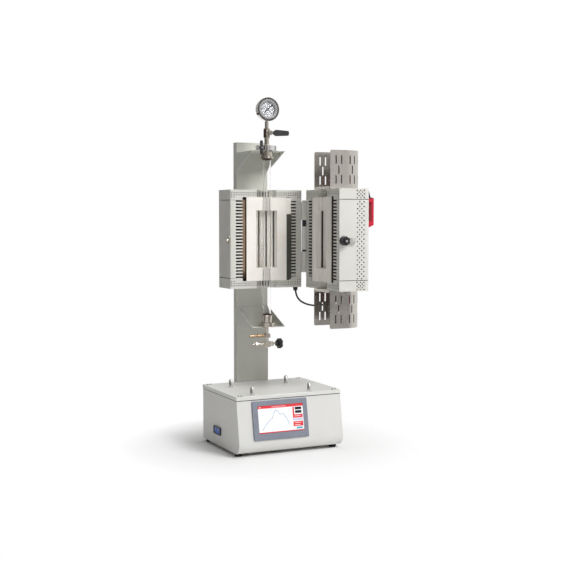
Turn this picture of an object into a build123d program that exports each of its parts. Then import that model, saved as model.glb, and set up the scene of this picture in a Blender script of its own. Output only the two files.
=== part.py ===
from build123d import *
import math
import os

# A vertical split tube furnace on a bench stand, in millimetres, +Z up.
# The origin is the middle of the base's footprint, on the bench. The front is -Y, and the
# furnace door stands open on the +X side.

# ---- driving dimensions: bench base ----
LID_WIDTH = 342.0
LID_DEPTH = 268.0
LID_TOP = 176.0
LID_SKIRT = 11.0
CASE_WIDTH = 338.4
CASE_REAR = 132.3
FOOT_HEIGHT = 9.0
FOOT_RADIUS = 11.0
FOOT_X = 154.5
FOOT_Y = 113.0
SHEET = 1.5
FRONT_SLANT = 10.3
BULLNOSE = 30.0
POST_X = (-112.0, 74.0)
POST_Y = (-115.0, 46.0)
POST_RADIUS = 5.8
POST_HEIGHT = 24.0
POST_ROUND = 2.4

# ---- driving dimensions: touch panel and side socket ----
PANEL_X = -34.5
PANEL_Z = 103.5
PANEL_WIDTH = 177.0
PANEL_HEIGHT = 114.0
PANEL_THICK = 5.0
SCREEN_WIDTH = 146.0
SCREEN_HEIGHT = 80.0
SOCKET_Y = 13.0
SOCKET_Z = 53.5
SOCKET_WIDTH = 54.0
SOCKET_HEIGHT = 24.0

# ---- driving dimensions: mast and brackets ----
MAST_WIDTH = 108.7
MAST_FRONT = 135.0
MAST_DEPTH = 24.0
MAST_BOTTOM = 20.0
MAST_TOP = 927.0
MAST_SHEET = 2.5
BRACKET_REACH = 125.0
BRACKET_SHEET = 2.0
GUSSET_HEIGHT = 56.0
TOP_BRACKET_Z = 895.5
LOW_BRACKET_Z = 357.5
SLOT_RADIUS = 10.5

# ---- driving dimensions: furnace halves ----
TUBE_Y = 26.0
HALF_WIDTH = 239.0
HALF_HEIGHT = 300.0
HALF_DEPTH = 102.0
FURNACE_BOTTOM = 477.5
LIP_BACK = 3.5
CAP_HEIGHT = 32.0
CORNER = 10.0
CASING_SHEET = 1.2
SEAM = 0.8
BLOCK_WIDTH = 134.0
BLOCK_MARGIN = 23.0
BLOCK_PROUD = 0.3
CHAMBER_RADIUS = 35.0
CHAMBER_HEIGHT = 176.0
TUBE_CHANNEL = 14.5
COLLAR_RADIUS = 32.0
HEATER_ANGLES = (-60.0, -20.0, 20.0, 60.0)
HEATER_SLOT = 7.0
HEATER_RADIUS = 2.4
HEATER_CIRCLE = 37.6

# ---- driving dimensions: door hinge, latch, handle and guards ----
HINGE_OUT = 8.0
DOOR_ANGLE = 87.0
HINGE_RADIUS = 7.5
PIN_RADIUS = 3.0
HINGE_LOW = 46.0
LOW_KNUCKLE = 64.0
LOW_RING = 6.0
DOOR_KNUCKLE = 72.0
HIGH_RING = 20.0
HIGH_KNUCKLE = 54.0
LATCH_HEIGHT = 147.5
LATCH_DEPTH = 18.0
CATCH_DEPTH = 11.0
LATCH_BASE_RADIUS = 17.0
KNOB_RADIUS = 13.0
HANDLE_U = 97.0
HANDLE_LOW = 185.0
HANDLE_HIGH = 277.0
GUARD_RADIUS = 57.5
GUARD_STRAIGHT = 58.0
GUARD_START = 3.0
GUARD_SHEET = 1.2
GUARD_LENGTH = 114.5

# ---- driving dimensions: work tube and fittings ----
TUBE_RADIUS = 12.5
TUBE_WALL = 2.0
TUBE_LOW = 366.0
TUBE_HIGH = 888.0
VALVE_Z = 948.5
GAUGE_Z = 1020.5
GAUGE_RADIUS = 35.5
TEE_Z = 331.5
NEEDLE_VALVE_Z = 305.0

HINGE_POINT = Vector(HALF_WIDTH / 2 + HINGE_OUT, TUBE_Y, 0)
FIXED = Plane(origin=(0, TUBE_Y, FURNACE_BOTTOM), x_dir=(1, 0, 0), z_dir=(0, 0, 1))


def opened(point):
    """A point of the closed door, turned about the hinge to where it stands open."""
    return HINGE_POINT + (Vector(*point) - HINGE_POINT).rotate(Axis.Z, DOOR_ANGLE)


# The door's frame: its own left is the closed furnace's right, its depth runs outwards.
DOOR = Plane(
    origin=opened((0, TUBE_Y, FURNACE_BOTTOM)),
    x_dir=Vector(-1, 0, 0).rotate(Axis.Z, DOOR_ANGLE),
    z_dir=(0, 0, 1),
)


def face_plane(half, depth, height=0.0):
    """A plane facing out of a half's parting face, at a depth and height in that half."""
    return Plane(
        origin=half.from_local_coords((0, depth, height)), x_dir=half.x_dir, z_dir=-half.y_dir
    )


def side_plane(half, across, height=0.0):
    """A plane facing along a half's width, whose own x runs into the half's depth."""
    return Plane(
        origin=half.from_local_coords((across, 0, height)), x_dir=half.y_dir, z_dir=half.x_dir
    )


def save(part, name):
    part.label = name
    export_step(part, f"parts/{name}.step")


os.makedirs("parts", exist_ok=True)

# ======================================================================================
# Bench base
# ======================================================================================
case_top = LID_TOP - SHEET
slant_top = LID_TOP - LID_SKIRT - 1.0
slant_run = (slant_top - FOOT_HEIGHT) * math.tan(math.radians(FRONT_SLANT))
front_top = -CASE_REAR
front_low = front_top - slant_run

socket_plane = Plane(origin=(-CASE_WIDTH / 2, SOCKET_Y, SOCKET_Z), x_dir=(0, -1, 0), z_dir=(-1, 0, 0))
SOCKET_BODY = (42.0, 12.0)


def case_outline(inset, past_rear, past_top):
    """The side view of the pan: a slanted front over a round nose, left open behind and above."""
    lean = inset / math.cos(math.radians(FRONT_SLANT))
    with BuildSketch(mode=Mode.PRIVATE) as outline:
        with BuildLine():
            Polyline(
                (CASE_REAR + past_rear, FOOT_HEIGHT + inset),
                (front_low + lean, FOOT_HEIGHT + inset),
                (front_top + inset, slant_top),
                (front_top + inset, case_top + past_top),
                (CASE_REAR + past_rear, case_top + past_top),
                close=True,
            )
        make_face()
        nose = outline.vertices().sort_by(Axis.X)[0]
        fillet(nose, radius=BULLNOSE - inset)
    return outline.sketch


with BuildPart() as base_case:
    with BuildSketch(Plane.YZ):
        add(case_outline(0, 0, 0))
    extrude(amount=CASE_WIDTH / 2, both=True)
    # The pan is open at the top, under the lid, and at the rear, where a panel closes it.
    with BuildSketch(Plane.YZ):
        add(case_outline(SHEET, 1.0, 1.0))
    extrude(amount=CASE_WIDTH / 2 - SHEET, both=True, mode=Mode.SUBTRACT)
    with BuildSketch(socket_plane):
        Rectangle(SOCKET_BODY[0] + 0.4, SOCKET_BODY[1] + 0.4)
    extrude(amount=-3 * SHEET, mode=Mode.SUBTRACT)
save(base_case.part, "base_case")

REAR_PANEL_WIDTH = CASE_WIDTH - 2 * SHEET - 0.4
rear_low = FOOT_HEIGHT + SHEET
rear_high = case_top - 0.2
INLET_X = 112.0
INLET_Z = 60.0
INLET_BODY = (28.0, 48.0)
REAR_VENTS = 6
with BuildPart() as rear_panel:
    with BuildSketch(Plane.XZ.offset(-CASE_REAR)):
        with Locations((0, (rear_low + rear_high) / 2)):
            Rectangle(REAR_PANEL_WIDTH, rear_high - rear_low)
        with Locations((INLET_X, INLET_Z)):
            Rectangle(INLET_BODY[0] + 0.4, INLET_BODY[1] + 0.4, mode=Mode.SUBTRACT)
        with Locations((-112.0, 100.0)):
            with GridLocations(0, 14.0, 1, REAR_VENTS):
                SlotOverall(60.0, 5.0, mode=Mode.SUBTRACT)
    extrude(amount=SHEET)
save(rear_panel.part, "rear_panel")

with BuildPart() as base_lid:
    with BuildSketch(Plane.XY.offset(LID_TOP - LID_SKIRT)):
        Rectangle(LID_WIDTH, LID_DEPTH)
    extrude(amount=LID_SKIRT)
    fillet(base_lid.edges().filter_by(Axis.Z), radius=3.0)
    fillet(base_lid.faces().sort_by(Axis.Z)[-1].edges(), radius=1.2)
    with BuildSketch(Plane.XY.offset(LID_TOP - LID_SKIRT)):
        Rectangle(LID_WIDTH - 2 * SHEET, LID_DEPTH - 2 * SHEET)
    extrude(amount=LID_SKIRT - SHEET, mode=Mode.SUBTRACT)
save(base_lid.part, "base_lid")

SCREW_X = 154.0
SCREW_Y = 122.0
SCREW_PITCH = 9.0
SCREW_RADIUS = 2.6
SCREW_HEIGHT = 1.6
with BuildPart() as lid_screws:
    with BuildSketch(Plane.XY.offset(LID_TOP)):
        with GridLocations(2 * SCREW_X, 2 * SCREW_Y, 2, 2):
            with GridLocations(SCREW_PITCH, 0, 2, 1):
                Circle(SCREW_RADIUS)
    extrude(amount=SCREW_HEIGHT)
save(lid_screws.part, "lid_screws")

with BuildPart() as rubber_feet:
    with BuildSketch():
        with GridLocations(2 * FOOT_X, 2 * FOOT_Y, 2, 2):
            Circle(FOOT_RADIUS)
    extrude(amount=FOOT_HEIGHT, taper=-6)
save(rubber_feet.part, "rubber_feet")

with BuildPart() as lid_posts:
    with BuildSketch(Plane.XY.offset(LID_TOP)):
        with Locations([(x, y) for x in POST_X for y in POST_Y]):
            Circle(POST_RADIUS + 1.7)
    extrude(amount=2.0)
    with BuildSketch(Plane.XY.offset(LID_TOP)):
        with Locations([(x, y) for x in POST_X for y in POST_Y]):
            Circle(POST_RADIUS)
    extrude(amount=POST_HEIGHT)
    chamfer(lid_posts.faces().sort_by(Axis.Z)[-4:].edges(), length=POST_ROUND)
save(lid_posts.part, "lid_posts")

# ======================================================================================
# Touch panel, side socket and mains inlet
# ======================================================================================
slant = math.radians(FRONT_SLANT)
panel_y = front_top - (slant_top - PANEL_Z) * math.tan(slant)
panel_plane = Plane(
    origin=(PANEL_X, panel_y, PANEL_Z),
    x_dir=(1, 0, 0),
    z_dir=(0, -math.cos(slant), math.sin(slant)),
)
SCREEN_SHIFT = (1.2, 2.4)
GLASS_THICK = 1.2

with BuildPart() as screen_bezel:
    with BuildSketch(panel_plane):
        RectangleRounded(PANEL_WIDTH, PANEL_HEIGHT, 4.0)
    extrude(amount=PANEL_THICK)
    bezel_front = screen_bezel.faces().sort_by(Axis(panel_plane.origin, panel_plane.z_dir))[-1]
    chamfer(bezel_front.edges(), length=1.2)
    with BuildSketch(panel_plane.offset(PANEL_THICK)):
        with Locations(SCREEN_SHIFT):
            Rectangle(SCREEN_WIDTH + 0.4, SCREEN_HEIGHT + 0.4)
    extrude(amount=-(GLASS_THICK + 0.8), mode=Mode.SUBTRACT)
save(screen_bezel.part, "screen_bezel")

with BuildPart() as screen_glass:
    with BuildSketch(panel_plane.offset(PANEL_THICK - GLASS_THICK - 0.8)):
        with Locations(SCREEN_SHIFT):
            Rectangle(SCREEN_WIDTH, SCREEN_HEIGHT)
    extrude(amount=GLASS_THICK)
save(screen_glass.part, "screen_glass")

with BuildPart() as usb_frame:
    with BuildSketch(socket_plane):
        RectangleRounded(SOCKET_WIDTH, SOCKET_HEIGHT, 2.5)
        Rectangle(SOCKET_WIDTH - 8.0, SOCKET_HEIGHT - 7.0, mode=Mode.SUBTRACT)
    extrude(amount=3.5)
save(usb_frame.part, "usb_frame")

# Two sockets side by side: the body passes through the wall, the collars stand proud of it.
SOCKET_PITCH = 21.0
with BuildPart() as usb_core:
    with BuildSketch(socket_plane):
        Rectangle(SOCKET_WIDTH - 8.4, SOCKET_HEIGHT - 7.4)
    extrude(amount=1.6)
    with BuildSketch(socket_plane):
        Rectangle(*SOCKET_BODY)
    extrude(amount=-14.0)
    with BuildSketch(socket_plane.offset(1.6)):
        with GridLocations(SOCKET_PITCH, 0, 2, 1):
            Rectangle(15.0, 8.0)
    extrude(amount=1.2)
    with BuildSketch(socket_plane.offset(2.8)):
        with GridLocations(SOCKET_PITCH, 0, 2, 1):
            Rectangle(12.5, 5.2)
    extrude(amount=-14.0, mode=Mode.SUBTRACT)
save(usb_core.part, "usb_core")

inlet_plane = Plane(origin=(INLET_X, CASE_REAR, INLET_Z), x_dir=(-1, 0, 0), z_dir=(0, 1, 0))
INLET_FLANGE = (34.0, 56.0)
INLET_PROUD = 2.5
INLET_DEPTH = 26.0
WELL_DEPTH = 18.0
ROCKER_LIFT = 14.0
with BuildPart() as power_inlet:
    with BuildSketch(inlet_plane):
        RectangleRounded(*INLET_FLANGE, 3.0)
    extrude(amount=INLET_PROUD)
    with BuildSketch(inlet_plane):
        Rectangle(*INLET_BODY)
    extrude(amount=-INLET_DEPTH)
    # The three-pin well below, and the well that the rocker tips in above it.
    with BuildSketch(inlet_plane.offset(INLET_PROUD)):
        with Locations((0, -9.5)):
            Rectangle(24.0, 16.5)
    extrude(amount=-WELL_DEPTH, mode=Mode.SUBTRACT)
    with BuildSketch(inlet_plane.offset(INLET_PROUD)):
        with Locations((0, ROCKER_LIFT)):
            Rectangle(22.0, 14.0)
    extrude(amount=-12.0, mode=Mode.SUBTRACT)
    with BuildSketch(inlet_plane.offset(INLET_PROUD - WELL_DEPTH)):
        with Locations((-6.5, -11.5), (0, -7.5), (6.5, -11.5)):
            Rectangle(2.0, 4.2)
    extrude(amount=11.0)
save(power_inlet.part, "power_inlet")

# The rocker has a hollow two-flat front, and tips about a line across its middle.
ROCKER_TILT = 12.0
ROCKER_HALF = 5.9
ROCKER_FACE = 4.0
rocker_end = ROCKER_FACE + ROCKER_HALF * math.tan(math.radians(ROCKER_TILT))
rocker_lean = math.radians(ROCKER_TILT)
rocker_side = Plane(
    origin=inlet_plane.from_local_coords((0, ROCKER_LIFT, -1.5)),
    x_dir=(0, math.sin(rocker_lean), math.cos(rocker_lean)),
    z_dir=(1, 0, 0),
)
with BuildPart() as switch_rocker:
    with BuildSketch(rocker_side):
        with BuildLine():
            Polyline(
                (-ROCKER_HALF, -rocker_end),
                (0, -ROCKER_FACE),
                (ROCKER_HALF, -rocker_end),
                (ROCKER_HALF, 0),
                (0, ROCKER_HALF),
                (-ROCKER_HALF, 0),
                close=True,
            )
        make_face()
    extrude(amount=10.6, both=True)
save(switch_rocker.part, "switch_rocker")

# ======================================================================================
# Power parts inside the base
# ======================================================================================
FLOOR_TOP = FOOT_HEIGHT + SHEET
TOROID_SPOT = (-70.0, 25.0)
TOROID_RADIUS = 58.0
TOROID_HOLE = 20.0
TOROID_HEIGHT = 62.0
TOROID_CROWN = 10.0
with BuildPart() as transformer:
    with BuildSketch(Plane.XY.offset(FLOOR_TOP)):
        with Locations(TOROID_SPOT):
            Circle(TOROID_RADIUS)
            Circle(TOROID_HOLE, mode=Mode.SUBTRACT)
    extrude(amount=TOROID_HEIGHT)
    chamfer(transformer.faces().sort_by(Axis.Z)[-1].edges(), length=TOROID_CROWN)
save(transformer.part, "transformer")

HEATSINK_SPOT = (70.0, 10.0)
HEATSINK_WIDTH = 90.0
HEATSINK_LENGTH = 110.0
HEATSINK_BASE = 8.0
HEATSINK_FINS = 7
FIN_HEIGHT = 34.0
with BuildPart() as power_controller:
    with BuildSketch(Plane.XY.offset(FLOOR_TOP)):
        with Locations(HEATSINK_SPOT):
            Rectangle(HEATSINK_WIDTH, HEATSINK_LENGTH)
    extrude(amount=HEATSINK_BASE)
    with BuildSketch(Plane.XY.offset(FLOOR_TOP + HEATSINK_BASE)):
        with Locations(HEATSINK_SPOT):
            with GridLocations(13.0, 0, HEATSINK_FINS, 1):
                Rectangle(3.0, HEATSINK_LENGTH)
    extrude(amount=FIN_HEIGHT)
save(power_controller.part, "power_controller")

# ======================================================================================
# Mast and tube brackets
# ======================================================================================
with BuildPart() as mast:
    with BuildSketch(Plane.XY.offset(MAST_BOTTOM)) as mast_section:
        with Locations((0, MAST_FRONT)):
            Rectangle(MAST_WIDTH, MAST_DEPTH, align=(Align.CENTER, Align.MIN))
        fillet(mast_section.vertices().group_by(Axis.Y)[0], radius=2.5)
        with Locations((0, MAST_FRONT + MAST_SHEET)):
            inner_width = MAST_WIDTH - 2 * MAST_SHEET
            Rectangle(inner_width, MAST_DEPTH, align=(Align.CENTER, Align.MIN), mode=Mode.SUBTRACT)
    extrude(amount=MAST_TOP - MAST_BOTTOM)
save(mast.part, "mast")


def tube_bracket(shelf_z, gusset_side):
    """A folded shelf with two triangular cheeks, bolted flat on the mast's front."""
    shelf_front = MAST_FRONT - BRACKET_REACH
    near = shelf_z
    far = shelf_z + gusset_side * GUSSET_HEIGHT
    with BuildPart() as bracket:
        with BuildSketch(Plane.YZ.offset(-MAST_WIDTH / 2)):
            with BuildLine():
                Polyline((MAST_FRONT, near), (shelf_front, near), (MAST_FRONT, far), close=True)
            make_face()
        extrude(amount=MAST_WIDTH)
        with BuildSketch(Plane.YZ.offset(-MAST_WIDTH / 2 + BRACKET_SHEET)):
            with BuildLine():
                inner = near + gusset_side * BRACKET_SHEET
                beyond = far + gusset_side * 10.0
                Polyline(
                    (MAST_FRONT - BRACKET_SHEET, inner),
                    (shelf_front - 10.0, inner),
                    (shelf_front - 10.0, beyond),
                    (MAST_FRONT - BRACKET_SHEET, beyond),
                    close=True,
                )
            make_face()
        extrude(amount=MAST_WIDTH - 2 * BRACKET_SHEET, mode=Mode.SUBTRACT)
        # The tube's neck slides into the shelf from the front.
        with BuildSketch(Plane.XY.offset(min(near, near + gusset_side * BRACKET_SHEET) - 1.0)):
            with Locations((0, TUBE_Y)):
                Circle(SLOT_RADIUS)
            with Locations((0, (shelf_front - 1.0 + TUBE_Y) / 2)):
                Rectangle(2 * SLOT_RADIUS, TUBE_Y - shelf_front + 1.0)
        extrude(amount=BRACKET_SHEET + 2.0, mode=Mode.SUBTRACT)
    return bracket


top_bracket = tube_bracket(TOP_BRACKET_Z, -1)
save(top_bracket.part, "top_bracket")
bottom_bracket = tube_bracket(LOW_BRACKET_Z, 1)
save(bottom_bracket.part, "bottom_bracket")

BOLT_HEAD = 5.0
BOLT_HEIGHT = 3.2
with BuildPart() as mast_bolts:
    # Shelf bolts stand on the brackets' back flanges.
    with BuildSketch(Plane.XZ.offset(-(MAST_FRONT - BRACKET_SHEET))):
        with Locations((0, TOP_BRACKET_Z - 30.0), (0, LOW_BRACKET_Z + 30.0)):
            with GridLocations(80.0, 26.0, 2, 2):
                RegularPolygon(BOLT_HEAD, 6)
    extrude(amount=BOLT_HEIGHT)
    # Spacer washers hold the mast off the base's rear panel.
    with BuildSketch(Plane.XZ.offset(-MAST_FRONT)):
        with Locations((0, 90.0)):
            with GridLocations(76.0, 110.0, 2, 2):
                Circle(9.0)
    extrude(amount=MAST_FRONT - CASE_REAR)
    # Longer ones hold the fixed half off the mast.
    with BuildSketch(Plane.XZ.offset(-MAST_FRONT)):
        with Locations((0, FURNACE_BOTTOM + HALF_HEIGHT / 2)):
            with GridLocations(74.0, 180.0, 2, 2):
                Circle(8.0)
    extrude(amount=MAST_FRONT - TUBE_Y - HALF_DEPTH)
save(mast_bolts.part, "mast_bolts")

# ======================================================================================
# Furnace halves: the same pressings, once on the mast and once on the hinge
# ======================================================================================
COMB_PITCH = 9.6
COMB_GAP = 4.9
COMB_COUNT = 25
COMB_ROOT = 101.0
COMB_TIP = 79.0
SQUARE = 3.4
SQUARE_PITCH_U = 8.0
SQUARE_PITCH_W = 6.6
SQUARE_COLUMNS = 9
SQUARE_MIDDLE = 67.0
SQUARE_UP = 12.5
CORNER_MIDDLE = 111.0
CORNER_UP = 15.8
COLLAR_SLOTS = 5
COLLAR_SLOT_PITCH = 9.0
COLLAR_SLOT = (4.0, 16.0)
SEAM_CUT = 15.0
SEAM_MIDDLE = 109.5


def half_outline(inset):
    """The plan of a half, open towards the parting plane, its two outer corners round."""
    depth = HALF_DEPTH - LIP_BACK
    with BuildSketch(mode=Mode.PRIVATE) as plan:
        with Locations((0, LIP_BACK)):
            Rectangle(HALF_WIDTH - 2 * inset, depth - inset, align=(Align.CENTER, Align.MIN))
        fillet(plan.vertices().group_by(Axis.Y)[-1], radius=CORNER - inset)
    return plan.sketch


def half_casing(half):
    """The wrapped middle of a half: sides and back in one sheet."""
    with BuildPart() as casing:
        with BuildSketch(half.offset(CAP_HEIGHT)):
            add(half_outline(0))
            add(half_outline(CASING_SHEET), mode=Mode.SUBTRACT)
        extrude(amount=HALF_HEIGHT - 2 * CAP_HEIGHT)
    return casing


def half_caps(half):
    """The two end caps: trays whose floor is notched round the work tube."""
    rim = CAP_HEIGHT - SEAM
    with BuildPart() as caps:
        for low, floor_low in ((0.0, 0.0), (HALF_HEIGHT - rim, HALF_HEIGHT - CASING_SHEET)):
            with BuildSketch(half.offset(low)):
                add(half_outline(0))
                add(half_outline(CASING_SHEET), mode=Mode.SUBTRACT)
            extrude(amount=rim)
            with BuildSketch(half.offset(floor_low)):
                add(half_outline(0))
                Circle(COLLAR_RADIUS + CASING_SHEET, mode=Mode.SUBTRACT)
            extrude(amount=CASING_SHEET)
    return caps


def half_face(half):
    """The parting face: a comb of teeth on each side of the block, square holes at the ends."""
    inside = CASING_SHEET
    with BuildPart() as face:
        with BuildSketch(face_plane(half, LIP_BACK)):
            with Locations((0, HALF_HEIGHT / 2)):
                Rectangle(HALF_WIDTH - 2 * inside, HALF_HEIGHT - 2 * inside)
                Rectangle(2 * COMB_TIP, HALF_HEIGHT - 2 * BLOCK_MARGIN + 1.0, mode=Mode.SUBTRACT)
                Rectangle(2 * COLLAR_RADIUS, HALF_HEIGHT, mode=Mode.SUBTRACT)
                with GridLocations(0, COMB_PITCH, 1, COMB_COUNT):
                    Rectangle(2 * COMB_ROOT, COMB_GAP, mode=Mode.SUBTRACT)
                with GridLocations(2 * SEAM_MIDDLE, HALF_HEIGHT - 2 * CAP_HEIGHT + SEAM, 2, 2):
                    Rectangle(SEAM_CUT, SEAM, mode=Mode.SUBTRACT)
                # Two rows of square holes along each end, and a third row at the corners.
                with GridLocations(2 * SQUARE_MIDDLE, HALF_HEIGHT - 2 * SQUARE_UP, 2, 2):
                    with GridLocations(SQUARE_PITCH_U, SQUARE_PITCH_W, SQUARE_COLUMNS, 2):
                        Rectangle(SQUARE, SQUARE, mode=Mode.SUBTRACT)
                with GridLocations(2 * CORNER_MIDDLE, HALF_HEIGHT - 2 * CORNER_UP, 2, 2):
                    with GridLocations(SQUARE_PITCH_U, SQUARE_PITCH_W, 2, 3):
                        Rectangle(SQUARE, SQUARE, mode=Mode.SUBTRACT)
        extrude(amount=-CASING_SHEET)
        # A slotted half-collar lines the way out of the tube at each end.
        for low in (CASING_SHEET, HALF_HEIGHT - BLOCK_MARGIN + 0.3):
            with BuildSketch(half.offset(low)):
                Circle(COLLAR_RADIUS + CASING_SHEET)
                Circle(COLLAR_RADIUS, mode=Mode.SUBTRACT)
                with Locations((0, LIP_BACK)):
                    Rectangle(
                        4 * COLLAR_RADIUS, 2 * COLLAR_RADIUS, align=(Align.CENTER, Align.MAX),
                        mode=Mode.SUBTRACT,
                    )
            extrude(amount=BLOCK_MARGIN - CASING_SHEET - 0.3)
        with BuildSketch(face_plane(half, 8.0)):
            for end_w in (SQUARE_UP, HALF_HEIGHT - SQUARE_UP):
                with Locations((0, end_w)):
                    with GridLocations(COLLAR_SLOT_PITCH, 0, COLLAR_SLOTS, 1):
                        Rectangle(*COLLAR_SLOT)
        extrude(amount=-COLLAR_RADIUS, mode=Mode.SUBTRACT)
    return face


def half_insulation(half):
    """The vacuum-formed fibre block with its half-round chamber and element grooves."""
    block_high = HALF_HEIGHT - 2 * BLOCK_MARGIN
    chamber_low = (HALF_HEIGHT - CHAMBER_HEIGHT) / 2
    depth = HALF_DEPTH - CASING_SHEET
    with BuildPart() as block:
        with BuildSketch(half.offset(BLOCK_MARGIN)):
            with Locations((0, BLOCK_PROUD)):
                Rectangle(BLOCK_WIDTH, depth - BLOCK_PROUD, align=(Align.CENTER, Align.MIN))
            Circle(TUBE_CHANNEL, mode=Mode.SUBTRACT)
        extrude(amount=block_high)
        with BuildSketch(half.offset(chamber_low)):
            Circle(CHAMBER_RADIUS)
        extrude(amount=CHAMBER_HEIGHT, mode=Mode.SUBTRACT)
        with BuildSketch(half.offset(chamber_low + 2.0)):
            for angle in HEATER_ANGLES:
                turn = math.radians(angle)
                with Locations(
                    Location(
                        (HEATER_CIRCLE * math.sin(turn), HEATER_CIRCLE * math.cos(turn)), -angle
                    )
                ):
                    Rectangle(HEATER_SLOT, HEATER_SLOT)
        extrude(amount=CHAMBER_HEIGHT - 4.0, mode=Mode.SUBTRACT)
    return block


def half_heaters(half):
    """Four straight heating elements, held at both ends of their grooves."""
    low = (HALF_HEIGHT - CHAMBER_HEIGHT) / 2 + 2.0
    with BuildPart() as heaters:
        with BuildSketch(half.offset(low)):
            for angle in HEATER_ANGLES:
                turn = math.radians(angle)
                with Locations((HEATER_CIRCLE * math.sin(turn), HEATER_CIRCLE * math.cos(turn))):
                    Circle(HEATER_RADIUS)
        extrude(amount=CHAMBER_HEIGHT - 4.0)
    return heaters


rear_casing = half_casing(FIXED)
save(rear_casing.part, "rear_casing")
rear_end_caps = half_caps(FIXED)
save(rear_end_caps.part, "rear_end_caps")
rear_face = half_face(FIXED)
save(rear_face.part, "rear_face")
door_casing = half_casing(DOOR)
save(door_casing.part, "door_casing")
door_end_caps = half_caps(DOOR)
save(door_end_caps.part, "door_end_caps")
door_face = half_face(DOOR)
save(door_face.part, "door_face")
door_insulation = half_insulation(DOOR)
save(door_insulation.part, "door_insulation")
door_heaters = half_heaters(DOOR)
save(door_heaters.part, "door_heaters")
rear_heaters = half_heaters(FIXED)
save(rear_heaters.part, "rear_heaters")

THERMOCOUPLE_HEIGHT = 128.0
THERMOCOUPLE_RADIUS = 2.0
rear_block = half_insulation(FIXED)
with BuildPart() as rear_insulation:
    add(rear_block.part)
    with BuildSketch(face_plane(FIXED, 0, THERMOCOUPLE_HEIGHT)):
        Circle(THERMOCOUPLE_RADIUS + 0.05)
    extrude(amount=-HALF_DEPTH, mode=Mode.SUBTRACT)
save(rear_insulation.part, "rear_insulation")

with BuildPart() as thermocouple:
    with BuildSketch(face_plane(FIXED, 24.0, THERMOCOUPLE_HEIGHT)):
        Circle(THERMOCOUPLE_RADIUS)
    extrude(amount=-(HALF_DEPTH - CASING_SHEET - 24.0))
    chamfer(thermocouple.faces().sort_by(Axis.Y)[0].edges(), length=0.8)
save(thermocouple.part, "thermocouple")

# ======================================================================================
# Door hinge: one pin through two fixed knuckles and the door's knuckle between them
# ======================================================================================
RUNNING = 0.06
END_PLAY = 0.2
LEAF_WIDTH = 40.0
LEAF_SHEET = 2.0
RING_RADIUS = 6.6
PIN_HEAD = 7.0
low_ring_at = HINGE_LOW + LOW_KNUCKLE
door_knuckle_at = low_ring_at + LOW_RING
high_ring_at = door_knuckle_at + DOOR_KNUCKLE
high_knuckle_at = high_ring_at + HIGH_RING
hinge_top = high_knuckle_at + HIGH_KNUCKLE


def hinge_leaves(half, side, spans, hole_radius):
    """The leaves and knuckles on a half's hinge side, one for each low and height."""
    with BuildPart() as leaves:
        for low, height in spans:
            with BuildSketch(half.offset(low)):
                with Locations((side * (HALF_WIDTH / 2 + LEAF_SHEET / 2), 0)):
                    Rectangle(LEAF_SHEET, LEAF_WIDTH, align=(Align.CENTER, Align.MIN))
                with Locations((side * (HALF_WIDTH / 2 + HINGE_OUT), 0)):
                    Circle(HINGE_RADIUS)
                    Circle(hole_radius, mode=Mode.SUBTRACT)
            extrude(amount=height)
    return leaves


fixed_spans = ((HINGE_LOW, LOW_KNUCKLE), (high_knuckle_at, HIGH_KNUCKLE))
rear_hinge_leaves = hinge_leaves(FIXED, 1, fixed_spans, PIN_RADIUS)
save(rear_hinge_leaves.part, "rear_hinge_leaves")
door_span = ((door_knuckle_at, DOOR_KNUCKLE),)
door_hinge_leaf = hinge_leaves(DOOR, -1, door_span, PIN_RADIUS + RUNNING)
save(door_hinge_leaf.part, "door_hinge_leaf")

hinge_foot = Plane(origin=(HINGE_POINT.X, HINGE_POINT.Y, FURNACE_BOTTOM), z_dir=(0, 0, 1))
with BuildPart() as hinge_pin:
    with BuildSketch(hinge_foot.offset(HINGE_LOW)):
        Circle(PIN_RADIUS)
    extrude(amount=hinge_top - HINGE_LOW)
    with BuildSketch(hinge_foot.offset(hinge_top)):
        Circle(HINGE_RADIUS)
    extrude(amount=PIN_HEAD, taper=20)
save(hinge_pin.part, "hinge_pin")

with BuildPart() as hinge_rings:
    for low, height in ((low_ring_at, LOW_RING), (high_ring_at, HIGH_RING)):
        with BuildSketch(hinge_foot.offset(low + END_PLAY)):
            Circle(RING_RADIUS)
            Circle(PIN_RADIUS + RUNNING, mode=Mode.SUBTRACT)
        extrude(amount=height - 2 * END_PLAY)
save(hinge_rings.part, "hinge_rings")

# ======================================================================================
# Door latch: a knob on the door turns a hook over a headed catch on the fixed half
# ======================================================================================
LATCH_BASE_THICK = 4.0
SPINDLE_RADIUS = 4.0
HOOK_SHEET = 2.5
HOOK_LOW = 0.4
HOOK_WIDTH = 18.0
REACH = LATCH_DEPTH + CATCH_DEPTH
CATCH_RADIUS = 3.0
latch_side = side_plane(DOOR, HALF_WIDTH / 2, LATCH_HEIGHT)

with BuildPart() as latch_base:
    with BuildSketch(latch_side):
        with Locations((LATCH_DEPTH, 0)):
            Circle(LATCH_BASE_RADIUS)
    extrude(amount=LATCH_BASE_THICK, taper=8)
    with BuildSketch(latch_side.offset(LATCH_BASE_THICK)):
        with Locations((LATCH_DEPTH, 0)):
            Circle(SPINDLE_RADIUS)
    extrude(amount=12.0)
save(latch_base.part, "latch_base")

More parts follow.
